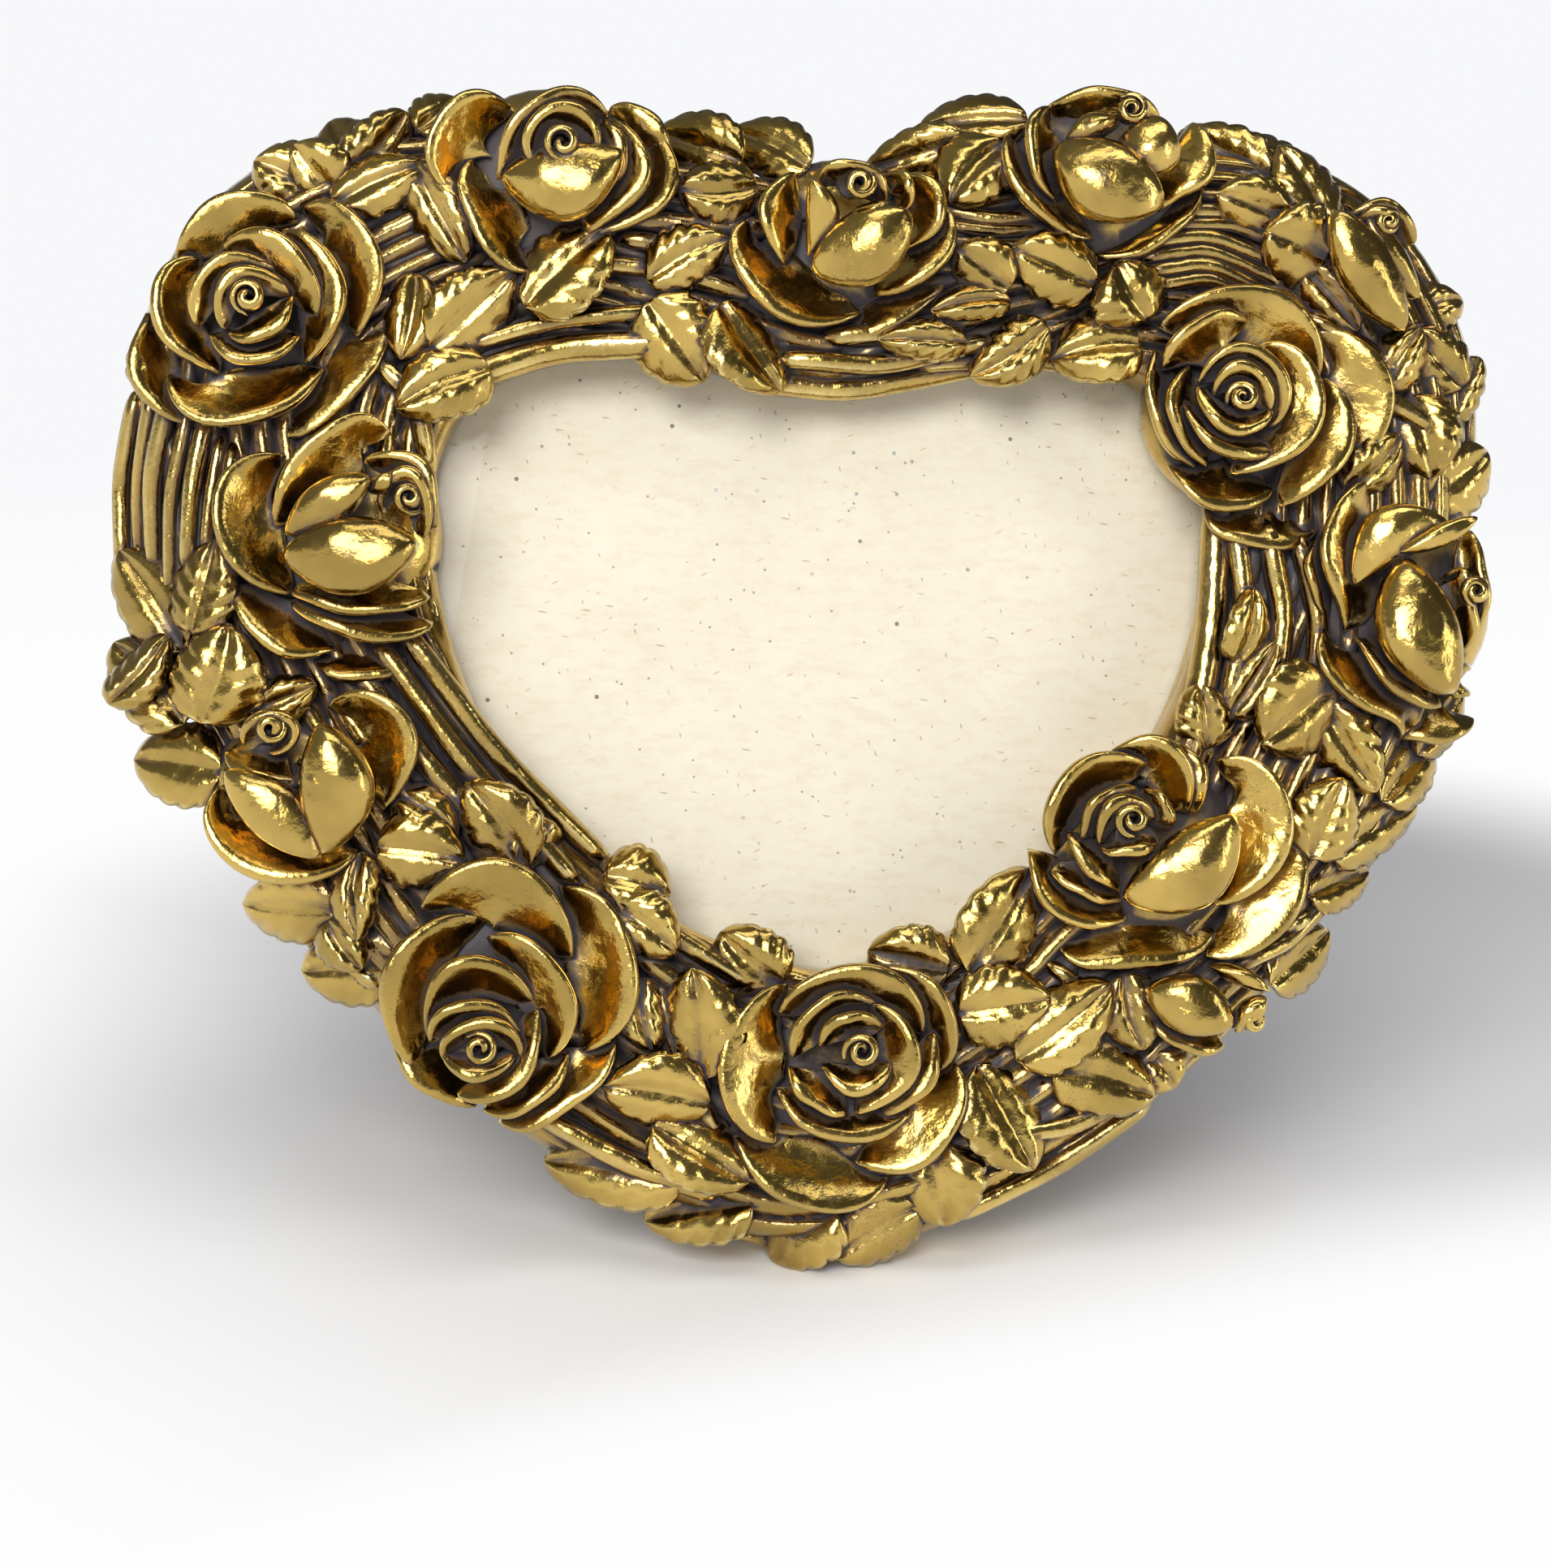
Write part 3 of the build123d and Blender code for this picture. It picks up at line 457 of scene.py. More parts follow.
        (10, 26, 20.5, -21.4, -94.4, -18.5, -100.6, -13.5, -106.1, -6.9, -109.3, 0.7, -109.8, 8.2,
         -107.7, 11.3, -103.7),
        (10, 27, 21.5, 24.1, -79.6, 26.6, -84.6, 25.8, -90.6, 21.5, -97, 16.5, -102.1, 9.7, -102, 3.7,
         -100.5),
        (10, 28, 22, -9.7, -63.8, -16.2, -65.4, -21.1, -70.7, -24, -78.9, -23.6, -86.3, -20.3, -92.3,
         -11.7, -95.9),
        (6, 28, 23, 8, -59.9, 16.3, -61.2, 21.6, -65.4, 24.1, -72, 23.9, -78.3, 21.2, -82.1),
        (6, 30, 25.5, -12.7, -84.6, -9.8, -89.7, -4, -93.9, 2.6, -95.2, 9.7, -93.5, 16, -89.8),
        (7, 30.5, 25.5, -12.3, -69.8, -9, -64.1, -3.2, -61, 3.4, -59.7, 10.1, -61, 15.1, -65.1, 17.7,
         -70.1, 17.2, -74.6),
        (4.5, 31, 27, 19.2, -73.4, 20.2, -77.9, 19, -82.8, 15, -87.5, 8.7, -90.2),
        (5, 32, 28, -10.5, -79.9, -9.1, -84.6, -4.3, -88.6, 1.9, -90),
        (5.5, 32.5, 28, -9.7, -78.6, -9.9, -73.7, -6.8, -68.4, -1.8, -65.2, 3.5, -65.3, 8.1, -67.4),
        (5.5, 33, 28.5, 5.9, -67.7, 11.7, -69.7, 15.3, -75.2, 14.8, -81.3, 10.9, -86.2, 3, -89.4),
        (3.6, 34, 30, -3.9, -79.3, -1.2, -83.5, 2.9, -85.1, 7.8, -82.9, 9.9, -78.7),
        (3.4, 34.5, 30.5, -4.6, -76, -2.9, -71.2, 0.8, -69, 4.9, -69.4, 9, -71.7),
    ), (
    )),
    ("rose_11", (69.4, -35.8, 24, 28), (59.4, -29.5, 3.6, 37), (
        (8, 24.5, 19.5, 47.5, -56, 52.5, -60.3, 56.7, -61.4, 63.3, -59.8, 68.1, -59.4, 72.9, -60.7, 78.3,
         -56.3, 81.6, -52.3),
        (9, 26.5, 21, 96.2, -32.3, 98.8, -34.9, 99.8, -40.5, 98.2, -46.5, 94.5, -52.2, 89.7, -57.4, 84.9,
         -58.6, 77.7, -57.9),
        (8, 27.5, 22, 40.4, -35.6, 40.9, -40.8, 42.7, -46.2, 45.9, -49.5, 50.6, -51.9, 56.6, -51.4, 62,
         -50.7),
        (5, 29, 25, 44.4, -40.2, 47.4, -43.1, 51.5, -45.5, 56.2, -46.7, 60, -46.8),
        (9, 31, 24.5, 79.9, -17.8, 85.4, -17.1, 90.1, -19, 93.4, -23.1, 94.1, -29.3, 93.7, -35.8, 90.1,
         -42.1, 84.7, -46.1, 79.1, -47.4),
        (6, 29.5, 24.5, 71.5, -13.7, 74.6, -16, 76.7, -19.7, 76.6, -24.4, 75.2, -29),
        (7, 31, 25.5, 56.9, -15.6, 61.6, -13.4, 66.4, -12.8, 70.5, -14.7, 72.8, -18.6, 73.8, -23.1, 73.9,
         -28.3),
        (8, 32, 26.5, 45.6, -37.1, 42.9, -31, 43.3, -25.8, 46.1, -20.9, 50.8, -17.5, 57.8, -16, 65.2,
         -18.6),
        (4.5, 33, 28.5, 47.7, -31.8, 48.2, -35.8, 50.5, -39.7, 54.3, -42.7, 59, -43.7),
        (4.5, 34.5, 30, 50.2, -34.1, 50.2, -28.7, 52.6, -25, 57.2, -23.1, 61.9, -23.4),
        (4.5, 34.5, 30, 63.1, -23.2, 66.6, -25.3, 68.4, -28.8, 68.4, -32.4),
        (3.6, 35.5, 31.5, 53.7, -34.7, 54.9, -36.4, 58.4, -36.8, 63, -36.1, 67, -35.6),
        (3.6, 36, 32, 53.9, -34.9, 52.7, -31.5, 53.3, -28.1, 55.6, -25.9, 59.7, -25, 63.2, -27, 64.4,
         -30.4),
    ), (
        (31, 35, 5.5, 58.5, -46.1, 81, -28.6, -4, 11.6),
    )),
    ("bud_1", (117.8, 86.1, 11, 26), (115.4, 95.6, 2.6, 32.5), (
        (3, 31, 27, 107.4, 96.7, 111.3, 99.2, 116.4, 99.6, 120.3, 96.8, 122.9, 91.6),
        (2.4, 32.5, 29, 109.2, 95.3, 111.5, 97.4, 116.2, 97.6, 118.9, 94.9),
    ), (
        (27, 29, 3.5, 123.8, 80.1, 111.6, 98.5, -4.5, 2.3),
        (27, 31, 4.5, 120.6, 73.3, 103.5, 97.5, -6.2, 5.5),
    )),
    ("bud_2", (74.8, -69.2, 11, 24), (87.1, -71.3, 2.4, 30), (
        (6, 26, 21.5, 65.4, -71, 68.8, -74.9, 73.6, -77.8, 78.4, -78.6, 83.2, -77.3),
        (2.4, 30.5, 27, 83.9, -74.5, 84.2, -71.4, 87.2, -68.5, 89.6, -68.2, 89.7, -70.3),
    ), (
        (24, 27, 2.5, 78.7, -60.4, 91.1, -65.7, -2.5, 1.4),
        (27, 28, 3, 82.9, -73.3, 89.8, -66.6, -2.4, 2.5),
        (26, 28.5, 4.5, 64.7, -65.1, 82.7, -72.6, -6.7, 5.5),
    )),
)
# A crescent's section from its foot over the rim and down its outside: where along the section, and the
# place across as a share of the width and in mm, and up as a share of the rise and in mm
SECTION = np.array((
    (0.00, 1.00, 0.0, 0.00, 0.0), (0.07, 0.80, 0.0, 0.08, 0.0), (0.14, 0.60, 0.1, 0.26, 0.0),
    (0.20, 0.42, 0.4, 0.48, 0.0), (0.26, 0.26, 0.7, 0.70, 0.0), (0.31, 0.13, 1.0, 0.87, 0.0),
    (0.36, 0.05, 0.9, 0.97, 0.0), (0.41, 0.00, 0.35, 1.00, 0.0), (0.45, 0.00, -0.25, 1.00, -0.2),
    (0.49, 0.00, -0.65, 1.00, -0.7), (0.53, 0.00, -0.8, 1.00, -1.4), (0.58, 0.00, -0.6, 1.00, -2.3),
    (0.64, 0.00, 0.0, 1.00, -3.4), (0.71, 0.00, 0.7, 0.50, -3.6), (0.79, 0.08, 1.0, 0.00, -4.2),
    (0.87, 0.50, 0.0, 0.00, -4.4), (0.94, 0.92, 0.0, 0.00, -3.4), (1.00, 1.00, 0.0, 0.00, 0.0)))
# Where along the section the rim is, and where the outside has come down from it
AT_RIM = 0.41
PAST_RIM = 0.6
# The rounded heart under the petals: its share of the rose's radius, the height of its middle, and how far
# its top stays under the rose's height
HEART_SHARE = 0.88
HEART_MIDDLE = 12.5
HEART_SUNK = 5.0
# What a crescent petal's width and depth are multiplied by, and what is then added to them
PETAL_WIDTH_TIMES, PETAL_WIDTH_MORE = 1.25, 1.5
PETAL_DEPTH_TIMES, PETAL_DEPTH_MORE = 0.78, 0.5
# How often the middle of a rose is rolled round itself
ROLL_TURNS = 1.75


def globe(name, around, along):
    """A sphere's points as the share along its axis and the turn about it, to lay a petal on."""
    bpy.ops.mesh.primitive_uv_sphere_add(segments=around, ring_count=along, radius=1)
    piece, co = take(name)
    share = np.arccos(np.clip(co[:, 2], -1, 1)) / math.pi
    return piece, share, np.arctan2(co[:, 1], co[:, 0]) / (2 * math.pi) % 1


def swept(name, line, width, rim, foot, middle, number, cup, droop=2.0):
    """A petal's section carried along its rim; line(share) gives the rim, right and up."""
    piece, share, turn = globe(name, around=28, along=38)
    share_across, mm_across, share_up, mm_up = between_knots(turn, SECTION[:, 0], SECTION[:, 1:]).T
    at = line(share)
    slope = line(share + 0.004) - line(share - 0.004)
    slope /= np.linalg.norm(slope, axis=1)[:, None]
    inward = np.stack((-slope[:, 1], slope[:, 0]), 1)
    inward *= np.sign(((np.array(middle) - at) * inward).sum(1).mean())
    full = full_middle(share) ** 0.44
    ends = np.abs(2 * share - 1)
    crest = rim - droop * ends ** 3 + 0.25 * np.sin(9 * share + 2.3 * number)
    roll = 0.45 + 0.62 * full * (0.75 + 0.25 * np.sin(5 * share + number))
    across = share_across * width * full + mm_across * roll * full ** 0.5
    rise = np.where(turn < AT_RIM, np.clip(share_up, 0, 1) ** cup, share_up)
    height = foot + (crest - foot) * rise + mm_up * np.where(turn < PAST_RIM, roll, 1.0)
    low = foot - 1.5
    height = low + (height - low) * full ** 0.6
    waves = 0.22 * np.sin(13 * share + 1.7 * number) * (turn > 0.3)
    put(piece, np.column_stack((at + inward * (across + waves)[:, None], height)))
    inner = share_across * (turn < AT_RIM)
    mark(piece, "groove", np.clip((inner - 0.5) / 0.5, 0, 1) if width > 2 else np.zeros(len(at)))
    room_out(piece)
    return piece


def crescent(name, row, middle, number):
    """A petal seen from inside, rolled over at its rim."""
    width, rim, foot = row[:3]
    width = width * PETAL_WIDTH_TIMES + PETAL_WIDTH_MORE
    foot = rim - PETAL_DEPTH_TIMES * (rim - foot) - PETAL_DEPTH_MORE
    cup = 1.1 + 0.4 * math.sin(1.7 * number)
    points = np.array(row[3:]).reshape(-1, 2)
    run = run_of(points)
    curve = [np.polyfit(run / run[-1], column, min(4, len(points) - 1)) for column in points.T]

    def line(share):
        return np.stack([np.polyval(c, share) for c in curve], 1)

    return swept(name, line, width, rim, foot, middle, number, cup)


def spiral(name, u, v, radius, height, number):
    """The rolled middle of a rose."""
    def line(share):
        angle = 2 * math.pi * ROLL_TURNS * share + 1.3 * number
        r = 0.5 + (radius - 0.5) * np.clip(share, 0, 1) ** 0.85
        return np.stack((u + r * np.cos(angle), v + r * np.sin(angle)), 1)

    return swept(name, line, 1.0, height, height - 1.8, (u, v), number, 1.0, 0.6)


def belly(name, row, number):
    """A full petal seen from outside, pointed at both ends."""
    start, end, swell, au, av, bu, bv, left, right = row
    piece, share, turn = globe(name, around=28, along=28)
    a, b = np.array((au, av)), np.array((bu, bv))
    run = (b - a) / np.linalg.norm(b - a)
    full = full_middle(share)
    aside = np.cos(2 * math.pi * turn)
    over = np.sin(2 * math.pi * turn)
    across = ((left + right) / 2 + (right - left) / 2 * 1.04 * aside) * full ** 0.66
    flat = a + (b - a) * share[:, None] + across[:, None] * np.array((run[1], -run[0]))
    rounded = np.where(over > 0, swell * np.clip(over, 0, 1) ** 0.75, 6.0 * over) * full ** 0.5
    height = start + (end - start) * share + rounded + 0.2 * np.sin(7 * share + 3 * aside + number)
    put(piece, np.column_stack((flat, height)))
    mark(piece, "groove", np.zeros(len(flat)))
    room_out(piece)
    return piece


def make_flower(number, name, heart, core, crescents, bellies):
    """A rose or bud of its petals, laid over a rounded heart."""
    u, v, radius, height = heart
    bpy.ops.mesh.primitive_uv_sphere_add(segments=32, ring_count=16, radius=1)
    middle, co = take(f"{name}_heart")
    full = np.sqrt(np.clip(1 - np.hypot(co[:, 0], co[:, 1]) ** 4, 0, 1)) * np.sign(co[:, 2])
    dome = np.column_stack((co[:, :2], full))
    size = (radius * HEART_SHARE, radius * HEART_SHARE, height - HEART_MIDDLE - HEART_SUNK)
    put(middle, dome * size + (u, v, HEART_MIDDLE))
    mark(middle, "groove", np.full(len(co), 1.0))
    parts = [middle, spiral(f"{name}_roll", *core, number)]
    parts += [crescent(f"{name}_petal_{i}", row, core[:2], 5 * number + i) for i, row in enumerate(crescents)]
    parts += [belly(f"{name}_belly_{i}", row, i + number) for i, row in enumerate(bellies)]
    return join(parts, name)


# Leaves: foot right and up, tip right and up, width, rise of the crest
LEAVES = (
    (-102, 97, -111, 108, 12, -3), (-101, 101, -88, 116, 10, -2), (-103, 95, -84, 104, 10, 0.2),
    (-87, 104, -76, 84, 10, 1.3), (-83, 66, -66, 82, 12, 1.9), (-86, 82, -89, 64, 10, 0.6),
    (-71, 63, -90, 54, 13, 1.1), (-133, 5, -147, 26, 13, -5.1), (-131, 8, -126, 27, 11, 0.3),
    (-133, -10, -148, 7, 14, -4.6), (-129, -10, -123, 10, 15, 1.6), (-125, -20, -144, -17, 14, -3.4),
    (-102, -48, -122, -47, 12, -1.2), (-90, -58, -110, -61, 14, -3.4), (-97, -36, -98, -54, 8, 1.4),
    (-94, -35, -76, -38, 13, 2.1), (-90, -24, -78, -34, 9, 0.5), (-64, -40, -76, -22, 13, 1.7),
    (-48, -41, -34, -45, 12, 0.4), (-47, -47, -33, -57, 11, 1.5), (-11, -64, -24, -53, 13, 0.1),
    (-28, -83, -30, -60, 14, 2.3), (-40, -62, -38, -77, 9, 1), (-26, -88, -48, -84, 13, 2),
    (-38, -92, -18, -104, 13, 1.2), (-31, -103, -60, -101, 15, -1.6), (-17, -109, -39, -114, 13, -2.3),
    (0, -111, -12, -123, 14, -4.2), (18, -111, 1, -122, 13, -3.9), (21, -97, 24, -115, 16, -2.6),
    (30, -81, 42, -103, 16, -0.8), (25, -70, 45, -67, 14, 2.4), (38, -80, 58, -64, 13, 1.8),
    (46, -82, 68, -88, 14, -0.4), (61, -62, 65, -78, 11, 0.9), (67, -79, 73, -87, 10, -4.4),
    (24, -61, 7, -57, 12, 0.7), (28, -62, 42, -40, 14, 1.3), (101, -38, 108, -21, 13, 2.2),
    (107, -38, 130, -26, 11, -1.4), (102, -46, 119, -41, 10, -2.1), (94, -65, 110, -54, 12, -2.9),
    (119, -26, 133, -11, 12, -3.6), (106, -1, 90, -14, 17, 2.6), (85, 3, 89, 19, 9, 1.6),
    (79, -15, 77, -1, 11, 0.4), (107, 95, 96, 114, 12, -0.8), (97, 97, 81, 102, 10, 1.4),
    (105, 89, 91, 94, 14, 2.5), (95, 106, 77, 119, 11, -2.7), (127, 78, 139, 83, 9, -6.1),
    (137, 63, 125, 75, 10, -2.5), (128, 38, 144, 50, 14, -4.2), (124, 61, 129, 43, 13, -1.9),
    (-64, 75, -47, 91, 15, 2.7), (-16, 101, -33, 100, 11, 1), (-19, 107, -37, 115, 12, -2.2),
    (-5, 106, -21, 116, 11, -1.7), (-39, 81, -22, 90, 10, 1.7), (-39, 77, -27, 61, 14, 1.2),
    (-24, 77, -11, 59, 14, 0.8), (42, 118, 20, 118, 10, -3.5), (28, 113, 8, 108, 9, -2.4),
    (36, 112, 24, 99, 13, 0.5), (37, 81, 25, 89, 10, 1.9), (37, 79, 20, 76, 7, 1.5),
    (55, 82, 37, 89, 12, 2.8), (66, 75, 59, 87, 14, 2.2), (45, 74, 29, 63, 10, 1.1),
    (65, 70, 46, 67, 13, 1.8), (28, 70, 9, 70, 7, 0.9), (-148, -6, -136, 8, 8, -4),
    (-104, -50, -97, -60, 8, -1), (-58, -30, -66, -40, 8, 0.5), (-82, 72, -72, 82, 8, 0),
    (84, -8, 94, 8, 9, 0.5), (104, -5, 116, -24, 11, 0), (118, 62, 126, 75, 9, 0),
    (134, 56, 141, 70, 8, -5), (110, 40, 122, 52, 10, -1), (-106, 99, -119, 105, 12, -4.5),
    (-98, 107, -104, 116, 10, -4), (-86, 112, -77, 121, 9, -4), (100, 107, 88, 118, 11, -3.5),
    (-141, 58, -137, 72, 9, -5), (100, 88, 112, 74, 9, 0), (-120, -8, -106, -2, 8, 0),
    (128, -16, 140, 0, 9, -6),
)
# What a leaf's width is multiplied by, its thickness, and the length under which it has one tooth less
LEAF_WIDER = 1.22
LEAF_THICKNESS = 1.9
SHORT_LEAF = 17
LEAVES_IN_A_PIECE = 21


def leaf(name, row, number):
    """A toothed leaf: each half swells between the midrib and the edge, with a bulge for each vein."""
    foot, tip = np.array(row[:2], float), np.array(row[2:4], float)
    width, rise = row[4:]
    length = np.linalg.norm(tip - foot)
    run = (tip - foot) / length
    across = np.array((-run[1], run[0]))
    teeth = 4 if length < SHORT_LEAF else 5
    tilt, arch, bend, twist, soft = rng.uniform((-0.48, 0.4, -1.4, -0.18, 0.4), (0.48, 2.0, 1.4, 0.18, 1.15))
    crest = RING_HEIGHT + 3 + rise
    foot_w = max(crest - 2.4, 3.0)
    tip_w = np.clip(crest - 1.0, 5.0, ring_top(np.array((foot, tip)))[1] + 6.0)
    bpy.ops.mesh.primitive_grid_add(x_subdivisions=36, y_subdivisions=15, size=2)
    piece, co = take(name)
    # s runs from the foot, 0, to the tip, 1, and q from one edge, -1, to the other
    s, q = (co[:, 0] + 1) / 2, co[:, 1]
    side = np.abs(q)
    lobes = np.abs(np.sin(math.pi * (teeth * (s - 0.30 * side) + 0.2))) ** 0.7
    half = width * LEAF_WIDER * s ** 0.42 * np.clip(1 - s, 0, 1) ** 0.60
    half = half * (1 + 0.075 * (lobes - 0.6) * np.clip((side - 0.6) / 0.4, 0, 1) * (s > 0.06)) + 0.3
    swell = 1.9 * np.sin(math.pi * np.clip(side, 0, 1) ** 0.75) ** 0.9 - 0.9 * side ** 3
    quilt = 0.85 * soft * (lobes - 0.6) * side ** 0.9 * np.clip((1 - s) * 3, 0, 1) * np.clip(s * 5, 0, 1)
    w = foot_w + (tip_w - foot_w) * s + swell * np.clip(half / 4, 0, 1) + quilt + tilt * q * half
    w = w + arch * 4 * s * (1 - s) + twist * q * half * s + 0.3 * np.sin(5 * s + number) * side ** 2
    flat = foot + np.outer(s * length, run) + np.outer(q * half + bend * np.sin(math.pi * s), across)
    put(piece, np.column_stack((flat, w)))
    vein = np.clip(1 - lobes * 3, 0, 1) * np.clip(side * 2 - 0.3, 0, 1) * np.clip((1 - s) * 4, 0, 1)
    mark(piece, "groove", np.clip(1 - side / 0.17, 0, 1) + 0.75 * vein)
    apply(piece, "SOLIDIFY", thickness=LEAF_THICKNESS, offset=-1, use_even_offset=False)
    return piece


# Twigs laid on the ring: their radius, then their points, right and up
TWIGS = (
    (2, (-147, 22), (-147.5, 40), (-144, 55)), (1.7, (-143, 17), (-143.5, 38), (-140, 54)),
    (2.1, (-139.5, 23), (-139.5, 40), (-136, 54)), (1.6, (-136, 19), (-135.5, 36), (-132, 52)),
    (2, (-132, 25), (-131, 38), (-128.5, 50)), (1.6, (-128.5, 18), (-127.5, 34), (-125.5, 46)),
    (1.9, (-125, 22), (-124, 34), (-123, 44)), (1.5, (-121.5, 24), (-121, 33), (-121, 42)),
    (1.6, (-101, 85), (-90, 91), (-78, 97)), (1.7, (-99, 81.5), (-88, 87.5), (-76, 93)),
    (1.5, (-97, 78), (-86, 84), (-75, 89)), (1.6, (-95, 74.5), (-84, 80.5), (-74, 85)),
    (1.4, (-93, 71.5), (-83, 77), (-73, 81)), (1.7, (-93, 90), (-84, 95), (-76, 100)),
    (2.4, (-46, 95), (-32, 93), (-17, 93)), (2.2, (-42, 90), (-30, 88), (-16, 86)),
    (2, (-50, 85), (-36, 84), (-20, 80)), (2.4, (-36, 105), (-24, 104), (-12, 102)),
    (3.2, (-78, 60), (-58, 68), (-36, 69)), (1.8, (-74, 68), (-58, 73), (-40, 75)),
    (2.6, (-14, 62), (4, 60.5), (30, 66)), (2.2, (-8, 66), (10, 65), (30, 70)),
    (2.4, (2, 71), (16, 72), (30, 76)), (2, (22, 66), (40, 68), (60, 66)),
    (1.8, (24, 98), (34, 96), (44, 97)), (1.6, (22, 95), (34, 93.5), (46, 94.5)),
    (1.8, (22, 91), (34, 90), (46, 91)), (1.7, (25, 86), (36, 86), (48, 86)),
    (1.8, (66, 92), (80, 94), (96, 88)), (1.6, (67, 89), (80, 91), (94, 85)),
    (1.8, (68, 86), (80, 88), (92, 82)), (1.6, (69, 83), (80, 85), (90, 80)),
    (1.8, (76, 99), (88, 99), (100, 94)), (1.6, (72, 96), (86, 96.5), (98, 91)),
    (2.5, (86, 30), (88, 14), (84, -4)), (2.6, (93, 30), (96, 14), (94, -2)),
    (2.4, (100, 28), (104, 12), (102, -4)), (2.2, (107, 26), (111, 10), (108, -6)),
    (3.4, (83, 38), (81, 10), (75, -16)), (2.6, (-86, 6), (-70, -16), (-50, -36)),
    (2.4, (-92, 4), (-76, -18), (-56, -40)), (2.5, (-97, 0), (-84, -18), (-66, -38)),
    (2.3, (-100, -8), (-90, -22), (-76, -38)), (2.3, (-46, -40), (-36, -52), (-20, -62)),
    (2.2, (-50, -46), (-40, -58), (-26, -68)), (2.4, (-58, -92), (-44, -100), (-28, -106)),
    (2.2, (36, -96), (52, -94), (68, -84)), (2.4, (30, -112), (48, -104), (66, -92)),
    (2.2, (100, -52), (114, -44), (124, -32)), (2.4, (114, -36), (126, -22), (134, -8)),
    (2.4, (112, 62), (122, 58), (132, 52)), (2.2, (104, 76), (112, 72), (120, 66)),
    (2.2, (-116, -46), (-106, -56), (-96, -62)), (2.4, (-141, -4), (-135, -15), (-127, -25)),
    (2.2, (-92, 62), (-86, 56), (-84, 46)), (2.2, (-36, -66), (-32, -80), (-26, -92)),
    (2, (48, -62), (56, -68), (62, -74)), (2, (88, -60), (98, -56), (106, -48)),
)
# How far a twig runs on past its first and last point, how far it dives there, and how its path is smoothed
RUN_ON = 4
DIVE = 3
FINE_STEPS = 200
SMOOTHING = 31


def twig_path(radius, points):
    """The points of a twig laid on the ring, run on and dived into it at both ends."""
    points = np.array(points, float)
    ends = points[0] - points[1], points[-1] - points[-2]
    first = points[0] + ends[0] / np.linalg.norm(ends[0]) * RUN_ON
    last = points[-1] + ends[1] / np.linalg.norm(ends[1]) * RUN_ON
    points = np.vstack((first, points, last))
    w = np.maximum(ring_top(points), 2) + 0.45 * radius
    w[[0, -1]] -= DIVE
    return np.column_stack((points, w))


def make_twig(name, radius, points):
    """A round twig with lines in its bark, closed at both ends."""
    path = twig_path(radius, points)
    fine = np.linspace(0, 1, FINE_STEPS)
    smooth = between_knots(fine, np.linspace(0, 1, len(path)), path)
    padded = np.pad(smooth, ((SMOOTHING // 2, SMOOTHING // 2), (0, 0)), mode="edge")
    kernel = np.ones(SMOOTHING) / SMOOTHING
    smooth = np.stack([np.convolve(column, kernel, "valid") for column in padded.T], 1)
    smooth[0], smooth[-1] = path[0], path[-1]
    piece, share, turn = globe(name, around=10, along=30)
    angle = 2 * math.pi * turn
    centre = between_knots(share, fine, smooth)
    slope = between_knots(share, fine, np.gradient(smooth, axis=0))
    slope /= np.linalg.norm(slope, axis=1)[:, None]
    side = unit(np.cross(slope, (0, 0, 1)))
    top = np.cross(side, slope)
    wide = radius * full_middle(share) ** 0.18 * (1 + 0.06 * np.sin(5 * angle + 9 * share))
    put(piece, centre + side * (wide * np.cos(angle))[:, None] + top * (wide * np.sin(angle))[:, None])
    return piece


pieces = [make_ring()]
for number, row in enumerate(FLOWERS):
    pieces.append(make_flower(number, *row))
leaf_pieces = [leaf(f"leaf_{i}", row, i) for i, row in enumerate(LEAVES)]
for number, start in enumerate(range(0, len(leaf_pieces), LEAVES_IN_A_PIECE)):
    pieces.append(join(leaf_pieces[start:start + LEAVES_IN_A_PIECE], f"leaves_{number + 1}"))
pieces.append(join([make_twig(f"twig_{i}", row[0], row[1:]) for i, row in enumerate(TWIGS)], "twigs"))

# How far a point looks for what stands over it, and how far it is lifted off its own face first
LOOK_FAR = 11.0
LIFT_OFF = 0.25


def looks(rays):
    """Directions spread evenly over the half round above a face."""
    spread = []
    for k in range(rays):
        height = 1 - (k + 0.5) / rays * 0.92
        turn = k * math.pi * (3 - math.sqrt(5))
        flat = math.sqrt(1 - height * height)
        spread.append((flat * math.cos(turn), flat * math.sin(turn), height))
    return spread


